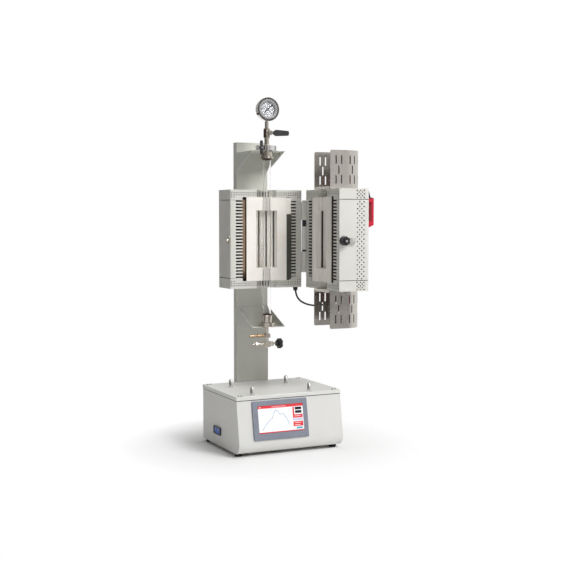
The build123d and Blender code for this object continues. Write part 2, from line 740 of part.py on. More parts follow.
hook_plane = latch_side.offset(LATCH_BASE_THICK + HOOK_LOW)
with BuildPart() as latch_hook:
    with BuildSketch(hook_plane):
        with Locations((LATCH_DEPTH, 0)):
            Circle(10.0)
        with Locations((LATCH_DEPTH, 0)):
            Rectangle(REACH + 4.5, HOOK_WIDTH, align=(Align.MIN, Align.CENTER))
        with Locations((LATCH_DEPTH, 0)):
            Circle(SPINDLE_RADIUS + RUNNING, mode=Mode.SUBTRACT)
        # The catch's way in follows the circle that the hook swings on.
        with BuildLine():
            CenterArc((LATCH_DEPTH, 0), REACH, 0, 60)
        trace(line_width=2 * (CATCH_RADIUS + 0.6), mode=Mode.SUBTRACT)
        with Locations((LATCH_DEPTH + REACH, 0)):
            Circle(CATCH_RADIUS + 0.6, mode=Mode.SUBTRACT)
    extrude(amount=HOOK_SHEET)
save(latch_hook.part, "latch_hook")

KNOB_LOBES = 6
knob_plane = hook_plane.offset(HOOK_SHEET)
with BuildPart() as latch_knob:
    with BuildSketch(knob_plane):
        with Locations((LATCH_DEPTH, 0)):
            Circle(KNOB_RADIUS)
            with PolarLocations(KNOB_RADIUS + 3.0, KNOB_LOBES):
                Circle(5.0, mode=Mode.SUBTRACT)
            Circle(SPINDLE_RADIUS + RUNNING, mode=Mode.SUBTRACT)
    extrude(amount=10.0)
    with BuildSketch(knob_plane.offset(10.0)):
        with Locations((LATCH_DEPTH, 0)):
            Circle(7.5)
    extrude(amount=3.0)
save(latch_knob.part, "latch_knob")

catch_side = Plane(
    origin=FIXED.from_local_coords((-HALF_WIDTH / 2, CATCH_DEPTH, LATCH_HEIGHT)),
    x_dir=(0, -1, 0),
    z_dir=(-1, 0, 0),
)
with BuildPart() as latch_catch:
    with BuildSketch(catch_side):
        RectangleRounded(13.0, 24.0, 3.0)
    extrude(amount=2.0)
    with BuildSketch(catch_side.offset(2.0)):
        Circle(CATCH_RADIUS)
    extrude(amount=LATCH_BASE_THICK + HOOK_LOW + HOOK_SHEET - 1.4)
    with BuildSketch(catch_side.offset(LATCH_BASE_THICK + HOOK_LOW + HOOK_SHEET + 0.6)):
        Circle(CATCH_RADIUS + 2.0)
    extrude(amount=2.0)
save(latch_catch.part, "latch_catch")

# ======================================================================================
# Door handle and tube guards
# ======================================================================================
HANDLE_PROUD = 20.0
HANDLE_WIDTH = 22.0
HANDLE_THICK = 8.0
handle_side = side_plane(DOOR, HANDLE_U)
with BuildPart() as door_handle:
    with BuildSketch(handle_side):
        with BuildLine():
            Polyline(
                (HALF_DEPTH, HANDLE_LOW),
                (HALF_DEPTH + HANDLE_PROUD, HANDLE_LOW + 9.0),
                (HALF_DEPTH + HANDLE_PROUD, HANDLE_HIGH - 5.0),
                (HALF_DEPTH, HANDLE_HIGH),
                (HALF_DEPTH, HANDLE_HIGH - 14.0),
                (HALF_DEPTH + HANDLE_PROUD - HANDLE_THICK, HANDLE_HIGH - 17.0),
                (HALF_DEPTH + HANDLE_PROUD - HANDLE_THICK, HANDLE_LOW + 21.0),
                (HALF_DEPTH, HANDLE_LOW + 16.0),
                close=True,
            )
        make_face()
    extrude(amount=HANDLE_WIDTH / 2, both=True)
    outer = door_handle.faces().sort_by(Axis(DOOR.origin, DOOR.y_dir))[-1]
    fillet(outer.edges(), radius=3.0)
    # A wedge above the grip stiffens its root.
    with BuildSketch(handle_side):
        with BuildLine():
            Polyline(
                (HALF_DEPTH, HANDLE_HIGH - 4.0),
                (HALF_DEPTH + 9.0, HANDLE_HIGH - 4.0),
                (HALF_DEPTH + 3.0, HANDLE_HIGH + 16.0),
                (HALF_DEPTH, HANDLE_HIGH + 16.0),
                close=True,
            )
        make_face()
    extrude(amount=HANDLE_WIDTH / 2 - 1.0, both=True)
save(door_handle.part, "door_handle")


GUARD_CORNER = 5.0
GUARD_SLOT = 25.0
GUARD_SLOT_WIDTH = 4.2
GUARD_PITCH = 29.0
GUARD_GROUP = 31.0
GUARD_STEP = 9.0
CURVE_GROUPS = (-71.0, -25.0, 25.0, 71.0)
GUARD_PATTERN = ((-1, (-1, 1)), (0, (0,)), (1, (-1, 1)))


def guard_outline(radius):
    """The plan of a guard: two straight cheeks joined by a half-round."""
    with BuildSketch(mode=Mode.PRIVATE) as plan:
        with Locations((0, GUARD_START)):
            Rectangle(2 * radius, GUARD_STRAIGHT - GUARD_START, align=(Align.CENTER, Align.MIN))
        with Locations((0, GUARD_STRAIGHT)):
            Circle(radius)
    return plan.sketch


with BuildPart() as tube_guards:
    for low in (HALF_HEIGHT, -GUARD_LENGTH):
        with BuildSketch(DOOR.offset(low)):
            add(guard_outline(GUARD_RADIUS))
            add(guard_outline(GUARD_RADIUS - GUARD_SHEET), mode=Mode.SUBTRACT)
            with Locations((0, GUARD_START)):
                Rectangle(4 * GUARD_RADIUS, 9.0, align=(Align.CENTER, Align.MAX), mode=Mode.SUBTRACT)
        extrude(amount=GUARD_LENGTH)
    free_corners = tube_guards.edges().filter_by(Axis(DOOR.origin, DOOR.x_dir))
    fillet(free_corners.group_by(Axis(DOOR.origin, DOOR.y_dir))[0], radius=GUARD_CORNER)
    # Tall vent slots in groups of five, two, one and two, through both straight cheeks.
    with BuildSketch(side_plane(DOOR, -GUARD_RADIUS - 1.0)):
        for middle in (HALF_HEIGHT + GUARD_LENGTH / 2, -GUARD_LENGTH / 2):
            for column, rows in GUARD_PATTERN:
                depth = GUARD_GROUP + column * GUARD_STEP
                with Locations([(depth, middle + row * GUARD_PITCH) for row in rows]):
                    Rectangle(GUARD_SLOT_WIDTH, GUARD_SLOT)
    extrude(amount=2 * GUARD_RADIUS + 2.0, mode=Mode.SUBTRACT)
    # The same groups go on round the curved back, a degree being a millimetre there.
    centre = DOOR.from_local_coords((0, GUARD_STRAIGHT, 0))
    for group in CURVE_GROUPS:
        for column, rows in GUARD_PATTERN:
            out = Vector(0, 1, 0).rotate(Axis.Z, group + column * GUARD_STEP)
            outward = DOOR.x_dir * out.X + DOOR.y_dir * out.Y
            ray = Plane(origin=centre, x_dir=outward.cross(Vector(0, 0, 1)), z_dir=outward)
            up = 1 if ray.y_dir.Z > 0 else -1
            with BuildSketch(ray.offset(GUARD_RADIUS - 4.0)):
                for middle in (HALF_HEIGHT + GUARD_LENGTH / 2, -GUARD_LENGTH / 2):
                    with Locations([(0, up * (middle + row * GUARD_PITCH)) for row in rows]):
                        Rectangle(GUARD_SLOT_WIDTH, GUARD_SLOT)
            extrude(amount=6.0, mode=Mode.SUBTRACT)
save(tube_guards.part, "tube_guards")

PLUG_HEIGHT = 8.0
PLUG_RADIUS = 46.0
with BuildPart() as door_end_plugs:
    for low in (HALF_HEIGHT, -PLUG_HEIGHT):
        with BuildSketch(DOOR.offset(low)):
            with Locations((0, BLOCK_PROUD)):
                Rectangle(2 * PLUG_RADIUS, PLUG_RADIUS, align=(Align.CENTER, Align.MIN))
            Circle(TUBE_CHANNEL, mode=Mode.SUBTRACT)
        extrude(amount=PLUG_HEIGHT)
save(door_end_plugs.part, "door_end_plugs")

LEAD_RADIUS = 2.2
LEAD_U = (28.0, 38.0)
LEAD_V = 80.0
with BuildPart() as heater_leads:
    for low in (HALF_HEIGHT, -46.0):
        with BuildSketch(DOOR.offset(low)):
            with Locations([(u, LEAD_V) for u in LEAD_U]):
                Circle(LEAD_RADIUS)
        extrude(amount=46.0)
save(heater_leads.part, "heater_leads")

# ======================================================================================
# Work tube, seal flanges and rings
# ======================================================================================
with BuildPart() as quartz_tube:
    with BuildSketch(Plane.XY.offset(TUBE_LOW)):
        with Locations((0, TUBE_Y)):
            Circle(TUBE_RADIUS)
            Circle(TUBE_RADIUS - TUBE_WALL, mode=Mode.SUBTRACT)
    extrude(amount=TUBE_HIGH - TUBE_LOW)
save(quartz_tube.part, "quartz_tube")


def turned(profile):
    """A turned piece about the work tube's axis, from its radius and height points."""
    with BuildPart() as piece:
        with BuildSketch(Plane(origin=(0, TUBE_Y, 0), x_dir=(1, 0, 0), z_dir=(0, -1, 0))):
            with BuildLine():
                Polyline(*profile, close=True)
            make_face()
        revolve(axis=Axis((0, TUBE_Y, 0), (0, 0, 1)), revolution_arc=360)
    return piece


tube_gap = TUBE_RADIUS + 0.05
shelf_low_top = LOW_BRACKET_Z + BRACKET_SHEET
RING_SIZE = 4.0
ARM_TOP = 337.0
LOW_MOUTH = 394.0
HIGH_MOUTH = 872.0
CLAMP_RIM_LOW = 898.0
CLAMP_RIM_HIGH = 908.0
CLAMP_JOINT = 902.0
CLAMP_RING = 2.0
lower_flange = turned(
    [
        (3.0, ARM_TOP), (6.0, ARM_TOP), (6.0, shelf_low_top), (26.0, shelf_low_top),
        (26.0, 364.0), (22.0, 364.0), (22.0, 366.5), (26.0, 366.5), (26.0, 371.0),
        (15.4, 371.0), (15.4, LOW_MOUTH - 1.0), (14.4, LOW_MOUTH), (tube_gap, LOW_MOUTH),
        (tube_gap, TUBE_LOW), (9.0, TUBE_LOW), (3.0, 360.0),
    ]
)
save(lower_flange.part, "lower_flange")

upper_flange = turned(
    [
        (9.0, CLAMP_JOINT), (20.0, CLAMP_JOINT), (20.0, CLAMP_RIM_LOW), (13.0, CLAMP_RIM_LOW),
        (13.0, TOP_BRACKET_Z), (9.9, TOP_BRACKET_Z), (9.9, 893.0), (18.0, 893.0), (18.0, 877.0),
        (20.0, 876.0), (20.0, HIGH_MOUTH), (tube_gap, HIGH_MOUTH), (tube_gap, TUBE_HIGH),
        (9.0, TUBE_HIGH),
    ]
)
save(upper_flange.part, "upper_flange")

# Soft rings are pinched between the flange mouths and the tube, and one between the clamped rims.
with BuildPart() as seal_rings:
    with BuildSketch(Plane.XY.offset(CLAMP_JOINT)):
        with Locations((0, TUBE_Y)):
            Circle(18.0)
            Circle(14.0, mode=Mode.SUBTRACT)
    extrude(amount=CLAMP_RING)
    for ring_low in (LOW_MOUTH, HIGH_MOUTH - RING_SIZE):
        with BuildSketch(Plane.XY.offset(ring_low)):
            with Locations((0, TUBE_Y)):
                Circle(TUBE_RADIUS + 1.9)
                Circle(tube_gap, mode=Mode.SUBTRACT)
        extrude(amount=RING_SIZE)
save(seal_rings.part, "seal_rings")

# ======================================================================================
# Clamped joint, shut-off valve and gauge above the furnace
# ======================================================================================
CLAMP_RADIUS = 23.5
CLAMP_LOW = 896.5
CLAMP_HIGH = 911.5
CLAMP_EAR_X = -29.0
CLAMP_Z = (CLAMP_LOW + CLAMP_HIGH) / 2
WING_BACK = 6.5
clamp_ring = turned(
    [
        (CLAMP_RADIUS, CLAMP_LOW), (13.6, CLAMP_LOW), (13.6, CLAMP_RIM_LOW),
        (20.3, CLAMP_RIM_LOW), (20.3, CLAMP_RIM_HIGH), (14.0, CLAMP_RIM_HIGH),
        (14.0, CLAMP_HIGH), (CLAMP_RADIUS, CLAMP_HIGH),
    ]
)
with BuildPart() as flange_clamp:
    add(clamp_ring.part)
    # The ear on the left carries the screw, and the one on the right is the clamp's hinge.
    with BuildSketch(Plane.XY.offset(CLAMP_LOW)):
        with Locations((CLAMP_EAR_X + 1.5, TUBE_Y)):
            Rectangle(12.0, 14.0)
        with Locations((26.0, TUBE_Y)):
            Rectangle(8.0, 9.0)
        with Locations((0, TUBE_Y)):
            Circle(CLAMP_RADIUS - 1.0, mode=Mode.SUBTRACT)
    extrude(amount=CLAMP_HIGH - CLAMP_LOW)
    with BuildSketch(Plane.XZ.offset(-TUBE_Y)):
        with Locations((CLAMP_EAR_X, CLAMP_Z)):
            Circle(3.6)
    extrude(amount=TUBE_Y - WING_BACK - 0.3)
    with BuildSketch(Plane.XZ.offset(-TUBE_Y)):
        with Locations((CLAMP_EAR_X, CLAMP_Z)):
            Circle(2.0)
    extrude(amount=TUBE_Y + 3.0)
save(flange_clamp.part, "flange_clamp")

wing_plane = Plane(origin=(CLAMP_EAR_X, WING_BACK, CLAMP_Z), x_dir=(1, 0, 0), z_dir=(0, -1, 0))
with BuildPart() as wing_nut:
    with BuildSketch(wing_plane):
        Circle(5.5)
        Circle(2.06, mode=Mode.SUBTRACT)
    extrude(amount=6.0)
    with BuildSketch(wing_plane.offset(4.0)):
        with Locations((0, 12.5), (0, -12.5)):
            SlotOverall(18.0, 9.0, rotation=90)
        Circle(2.06, mode=Mode.SUBTRACT)
        Circle(4.0, mode=Mode.SUBTRACT)
    extrude(amount=3.0)
save(wing_nut.part, "wing_nut")

VALVE_HEX = 11.0
GAUGE_NECK = 983.0
shutoff_body = turned(
    [
        (3.0, CLAMP_JOINT + CLAMP_RING), (20.0, CLAMP_JOINT + CLAMP_RING),
        (20.0, CLAMP_RIM_HIGH), (13.0, CLAMP_RIM_HIGH), (7.5, CLAMP_RIM_HIGH + 6.0),
        (7.5, VALVE_Z - 17.0), (9.0, VALVE_Z - 15.0), (9.0, VALVE_Z + 15.0), (6.0, VALVE_Z + 17.0),
        (6.0, GAUGE_NECK), (3.0, GAUGE_NECK),
    ]
)
STEM_FRONT = -6.5
with BuildPart() as shutoff_valve:
    add(shutoff_body.part)
    with BuildSketch(Plane.XY.offset(VALVE_Z - 12.0)):
        with Locations((0, TUBE_Y)):
            RegularPolygon(VALVE_HEX, 6)
            Circle(8.0, mode=Mode.SUBTRACT)
    extrude(amount=24.0)
    with BuildSketch(Plane.XZ.offset(-TUBE_Y + 8.5)):
        with Locations((0, VALVE_Z)):
            Circle(7.0)
    extrude(amount=11.5)
    with BuildSketch(Plane.XZ.offset(-TUBE_Y + 20.0)):
        with Locations((0, VALVE_Z)):
            Circle(3.0)
    extrude(amount=TUBE_Y - 20.0 - STEM_FRONT)
save(shutoff_valve.part, "shutoff_valve")

LEVER_BACK = 0.5
LEVER_SHEET = 2.5
SLEEVE_THICK = 7.5
with BuildPart() as valve_lever:
    with BuildSketch(Plane.XZ.offset(LEVER_BACK)):
        with Locations((0, VALVE_Z)):
            Circle(7.0)
            with Locations((9.0, 0)):
                Rectangle(26.0, 8.0)
            Circle(3.06, mode=Mode.SUBTRACT)
    extrude(amount=LEVER_SHEET)
save(valve_lever.part, "valve_lever")

with BuildPart() as lever_sleeve:
    sleeve_back = LEVER_BACK + LEVER_SHEET / 2 - SLEEVE_THICK / 2
    with BuildSketch(Plane.XZ.offset(sleeve_back)) as sleeve_outline:
        with BuildLine():
            Polyline(
                (9.0, VALVE_Z - 4.5), (18.0, VALVE_Z - 9.5), (60.0, VALVE_Z - 7.0),
                (60.0, VALVE_Z + 7.0), (18.0, VALVE_Z + 9.5), (9.0, VALVE_Z + 4.5), close=True,
            )
        make_face()
        fillet(sleeve_outline.vertices().group_by(Axis.X)[-1], radius=4.0)
    extrude(amount=SLEEVE_THICK)
    with BuildSketch(Plane.XZ.offset(LEVER_BACK)):
        with Locations((9.0, VALVE_Z)):
            Rectangle(26.0, 8.0)
    extrude(amount=LEVER_SHEET, mode=Mode.SUBTRACT)
save(lever_sleeve.part, "lever_sleeve")

gauge_plane = Plane(origin=(0, TUBE_Y, GAUGE_Z), x_dir=(1, 0, 0), z_dir=(0, -1, 0))
CASE_BACK = 9.0
DIAL_LIFT = 5.0
GLASS_LIFT = 10.5
with BuildPart() as gauge_case:
    with BuildSketch(gauge_plane.offset(-CASE_BACK)):
        Circle(GAUGE_RADIUS - 2.5)
    extrude(amount=CASE_BACK + DIAL_LIFT)
    with BuildSketch(gauge_plane.offset(1.0)):
        Circle(GAUGE_RADIUS)
    extrude(amount=12.0)
    # A deep well for the dial, and a step near the rim that the glass lies on.
    with BuildSketch(gauge_plane.offset(DIAL_LIFT)):
        Circle(GAUGE_RADIUS - 6.5)
    extrude(amount=10.0, mode=Mode.SUBTRACT)
    with BuildSketch(gauge_plane.offset(GLASS_LIFT)):
        Circle(GAUGE_RADIUS - 5.5)
    extrude(amount=10.0, mode=Mode.SUBTRACT)
    with BuildSketch(gauge_plane.offset(DIAL_LIFT)):
        Circle(1.0)
    extrude(amount=3.4)
    with BuildSketch(Plane.XY.offset(GAUGE_NECK)):
        with Locations((0, TUBE_Y)):
            Circle(5.0)
    extrude(amount=8.0)
save(gauge_case.part, "gauge_case")

with BuildPart() as gauge_dial:
    with BuildSketch(gauge_plane.offset(DIAL_LIFT)):
        Circle(GAUGE_RADIUS - 6.7)
        Circle(1.3, mode=Mode.SUBTRACT)
    extrude(amount=0.8)
save(gauge_dial.part, "gauge_dial")

NEEDLE_ANGLE = 40.0
NEEDLE_TAIL = 12.0
NEEDLE_LENGTH = 23.0
needle_turn = math.radians(NEEDLE_ANGLE)
needle_plane = Plane(
    origin=gauge_plane.offset(DIAL_LIFT + 1.4).origin,
    x_dir=(math.cos(needle_turn), 0, math.sin(needle_turn)),
    z_dir=gauge_plane.z_dir,
)
with BuildPart() as gauge_needle:
    with BuildSketch(needle_plane):
        with BuildLine():
            Polyline(
                (-NEEDLE_TAIL, -1.4), (-NEEDLE_TAIL, 1.4), (0, 1.0), (NEEDLE_LENGTH, 0.35),
                (NEEDLE_LENGTH, -0.35), (0, -1.0), close=True,
            )
        make_face()
        Circle(3.2)
        Circle(1.06, mode=Mode.SUBTRACT)
    extrude(amount=0.8)
save(gauge_needle.part, "gauge_needle")

with BuildPart() as gauge_glass:
    with BuildSketch(gauge_plane.offset(GLASS_LIFT)):
        Circle(GAUGE_RADIUS - 5.7)
    extrude(amount=1.5)
save(gauge_glass.part, "gauge_glass")

# ======================================================================================
# Outlet tee, hose barb and needle valve below the furnace
# ======================================================================================
ARM_RADIUS = 5.0
BARB_RADIUS = 3.0
with BuildPart() as outlet_tee:
    with BuildSketch(Plane.XY.offset(TEE_Z - 7.0)):
        with Locations((0, TUBE_Y)):
            Rectangle(16.0, 16.0)
    extrude(amount=ARM_TOP - TEE_Z + 7.0)
    with BuildSketch(Plane.YZ.offset(-8.0)):
        with Locations((TUBE_Y, TEE_Z)):
            Circle(ARM_RADIUS)
    extrude(amount=-24.0)
    with BuildSketch(Plane.YZ.offset(-32.0)):
        with Locations((TUBE_Y, TEE_Z)):
            Circle(BARB_RADIUS)
    extrude(amount=-16.0)
    with BuildSketch(Plane.YZ.offset(-48.0)):
        with Locations((TUBE_Y, TEE_Z)):
            Circle(4.4)
    extrude(amount=-10.0, taper=5)
    with BuildSketch(Plane.YZ.offset(-60.0)):
        with Locations((TUBE_Y, TEE_Z)):
            Circle(1.6)
    extrude(amount=50.0, mode=Mode.SUBTRACT)
    with BuildSketch(Plane.XY.offset(NEEDLE_VALVE_Z + 9.0)):
        with Locations((0, TUBE_Y)):
            Circle(5.5)
    extrude(amount=TEE_Z - 7.0 - NEEDLE_VALVE_Z - 9.0)
save(outlet_tee.part, "outlet_tee")

with BuildPart() as needle_valve:
    with BuildSketch(Plane.XY.offset(NEEDLE_VALVE_Z - 9.0)):
        with Locations((0, TUBE_Y)):
            Rectangle(18.0, 18.0)
    extrude(amount=18.0)
    fillet(needle_valve.edges().filter_by(Axis.Z), radius=2.0)
    with BuildSketch(Plane.YZ.offset(9.0)):
        with Locations((TUBE_Y, NEEDLE_VALVE_Z)):
            Circle(7.0)
    extrude(amount=12.0)
    with BuildSketch(Plane.YZ.offset(21.0)):
        with Locations((TUBE_Y, NEEDLE_VALVE_Z)):
            Circle(3.0)
    extrude(amount=24.0)
    with BuildSketch(Plane.YZ.offset(-9.0)):
        with Locations((TUBE_Y, NEEDLE_VALVE_Z)):
            Circle(4.5)
    extrude(amount=-24.0)
    with BuildSketch(Plane.YZ.offset(-33.0)):
        with Locations((TUBE_Y, NEEDLE_VALVE_Z)):
            RegularPolygon(7.5, 6)
    extrude(amount=-6.0)
    with BuildSketch(Plane.YZ.offset(-39.0)):
        with Locations((TUBE_Y, NEEDLE_VALVE_Z)):
            Circle(BARB_RADIUS)
    extrude(amount=-10.0)
    with BuildSketch(Plane.YZ.offset(-50.0)):
        with Locations((TUBE_Y, NEEDLE_VALVE_Z)):
            Circle(1.6)
    extrude(amount=40.0, mode=Mode.SUBTRACT)
save(needle_valve.part, "needle_valve")

STAR_LOBES = 6
STAR_RADIUS = 15.5
STAR_BACK = 30.0
STAR_FACE = 37.0
with BuildPart() as star_knob:
    with BuildSketch(Plane.YZ.offset(STAR_FACE)):
        with Locations((TUBE_Y, NEEDLE_VALVE_Z)):
            Circle(STAR_RADIUS)
            with PolarLocations(STAR_RADIUS + 1.5, STAR_LOBES):
                Circle(4.4, mode=Mode.SUBTRACT)
    extrude(amount=11.0)
    with BuildSketch(Plane.YZ.offset(STAR_BACK)):
        with Locations((TUBE_Y, NEEDLE_VALVE_Z)):
            Circle(7.0)
    extrude(amount=STAR_FACE - STAR_BACK)
    with BuildSketch(Plane.YZ.offset(STAR_BACK)):
        with Locations((TUBE_Y, NEEDLE_VALVE_Z)):
            Circle(3.06)
    extrude(amount=15.1, mode=Mode.SUBTRACT)
save(star_knob.part, "star_knob")

# ======================================================================================
# Heater cable: it hangs in a loop from the fixed half round the hinge to the door
# ======================================================================================
CABLE_RADIUS = 2.8
GLAND_HEIGHT = 12.0
gland_start = Vector(108.0, 48.0, FURNACE_BOTTOM)
gland_end = opened((80.0, TUBE_Y - 84.0, FURNACE_BOTTOM))


def cable_gland(foot):
    """A screwed gland: a hexagon against the furnace's floor and a domed nut below it."""
    with BuildPart() as gland:
        with BuildSketch(Plane.XY.offset(FURNACE_BOTTOM)):
            with Locations((foot.X, foot.Y)):
                RegularPolygon(8.5, 6)
        extrude(amount=-5.0)
        with BuildSketch(Plane.XY.offset(FURNACE_BOTTOM)):
            with Locations((foot.X, foot.Y)):
                Circle(6.8)
        extrude(amount=-GLAND_HEIGHT)
        chamfer(gland.faces().sort_by(Axis.Z)[0].edges(), length=1.6)
        with BuildSketch(Plane.XY.offset(FURNACE_BOTTOM)):
            with Locations((foot.X, foot.Y)):
                Circle(CABLE_RADIUS + 0.05)
        extrude(amount=-GLAND_HEIGHT, mode=Mode.SUBTRACT)
    return gland


rear_gland = cable_gland(gland_start)
save(rear_gland.part, "rear_gland")
door_gland = cable_gland(gland_end)
save(door_gland.part, "door_gland")

cable_route = [
    gland_start,
    Vector(gland_start.X, gland_start.Y, 444.0),
    Vector(gland_start.X + 30.0, gland_start.Y - 18.0, 420.0),
    Vector(gland_end.X - 28.0, gland_end.Y + 30.0, 418.0),
    Vector(gland_end.X, gland_end.Y, 440.0),
    gland_end,
]


def arc_radii(route):
    """For each corner of a route, the largest arc that its two runs leave room for."""
    radii = []
    for before, corner, after in zip(route, route[1:], route[2:]):
        run_in = corner - before
        run_out = after - corner
        turn = math.radians(run_in.get_angle(run_out))
        radii.append(0.45 * min(run_in.length, run_out.length) / math.tan(turn / 2))
    return radii


cable_radii = arc_radii(cable_route)
print("cable radii", [round(radius, 1) for radius in cable_radii])
with BuildPart() as door_cable:
    with BuildLine() as cable_path:
        FilletPolyline(*cable_route, radius=cable_radii)
    with BuildSketch(Plane(origin=cable_route[0], z_dir=(0, 0, -1))):
        Circle(CABLE_RADIUS)
    sweep()
section = math.pi * CABLE_RADIUS**2
tube_share = door_cable.part.volume / (section * cable_path.wire().length)
print("cable volume over section times length", round(tube_share, 4))
save(door_cable.part, "door_cable")
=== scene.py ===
"""Dresses a vertical split tube furnace and its bench stand, and lights them in a plain studio."""

import logging
import math
from dataclasses import dataclass, field
from enum import Enum
from typing import Any, Sequence

import bmesh
import bpy
from mathutils import Matrix, Vector, noise


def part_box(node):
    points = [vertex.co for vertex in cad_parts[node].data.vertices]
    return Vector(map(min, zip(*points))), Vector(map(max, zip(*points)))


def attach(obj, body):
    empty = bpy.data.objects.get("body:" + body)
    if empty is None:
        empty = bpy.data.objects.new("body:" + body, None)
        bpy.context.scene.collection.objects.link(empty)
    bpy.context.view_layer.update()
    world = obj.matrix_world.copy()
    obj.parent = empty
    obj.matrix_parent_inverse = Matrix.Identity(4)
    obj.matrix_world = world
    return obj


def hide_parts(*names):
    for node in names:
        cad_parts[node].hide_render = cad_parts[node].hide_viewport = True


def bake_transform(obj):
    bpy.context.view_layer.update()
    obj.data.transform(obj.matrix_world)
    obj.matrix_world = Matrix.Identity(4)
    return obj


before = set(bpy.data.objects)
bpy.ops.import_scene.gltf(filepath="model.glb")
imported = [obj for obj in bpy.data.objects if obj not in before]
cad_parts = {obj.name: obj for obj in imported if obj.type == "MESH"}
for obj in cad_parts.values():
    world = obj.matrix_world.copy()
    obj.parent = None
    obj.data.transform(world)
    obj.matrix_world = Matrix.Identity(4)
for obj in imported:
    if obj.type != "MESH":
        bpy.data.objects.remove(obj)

LOG = logging.getLogger("tube_furnace")
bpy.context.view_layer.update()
MM = 0.001

Shape = bmesh.types.BMesh
Triple = tuple[float, float, float]
Pair = tuple[float, float]
Number = float | int
ALL_ROUND: Triple = (1.0, 1.0, 1.0)
WHITE: Triple = (1.0, 1.0, 1.0)
UP = Vector((0.0, 0.0, 1.0))
QUARTER = math.radians(90.0)


# SHADER ARITHMETIC
class Field:
    """A shader socket that takes part in Python arithmetic."""

    def __init__(self, tree: bpy.types.NodeTree, socket: bpy.types.NodeSocket) -> None:
        """Wraps one output socket of a node tree."""
        self.tree = tree
        self.socket = socket

    def math(self, operation: str, *values: "Field | Number") -> "Field":
        """Adds a Math node.

        Args:
            operation: The node's operation, such as "MULTIPLY".
            values: What its inputs take, in order.

        Returns:
            The node's result.
        """
        node = self.tree.nodes.new("ShaderNodeMath")
        node.operation = operation
        for place, value in enumerate(values):
            if isinstance(value, Field):
                self.tree.links.new(value.socket, node.inputs[place])
            else:
                node.inputs[place].default_value = float(value)
        return Field(self.tree, node.outputs[0])

    def __add__(self, other: "Field | Number") -> "Field":
        """Sum."""
        return self.math("ADD", self, other)

    __radd__ = __add__

    def __sub__(self, other: "Field | Number") -> "Field":
        """Difference."""
        return self.math("SUBTRACT", self, other)

    def __rsub__(self, other: Number) -> "Field":
        """Difference, with the number first."""
        return self.math("SUBTRACT", other, self)

    def __mul__(self, other: "Field | Number") -> "Field":
        """Product."""
        return self.math("MULTIPLY", self, other)

    __rmul__ = __mul__

    def __gt__(self, other: "Field | Number") -> "Field":
        """One where this is the greater, and zero elsewhere."""
        return self.math("GREATER_THAN", self, other)

    def __lt__(self, other: "Field | Number") -> "Field":
        """One where this is the less, and zero elsewhere."""
        return self.math("LESS_THAN", self, other)

    def magnitude(self) -> "Field":
        """This without its sign."""
        return self.math("ABSOLUTE", self)

    def root(self) -> "Field":
        """The square root."""
        return self.math("SQRT", self)

    def at_least(self, low: Number) -> "Field":
        """This, or the number where this is less."""
        return self.math("MAXIMUM", self, low)

    def clamped(self) -> "Field":
        """This, kept between zero and one."""
        result = self.math("ADD", self, 0.0)
        result.socket.node.use_clamp = True
        return result


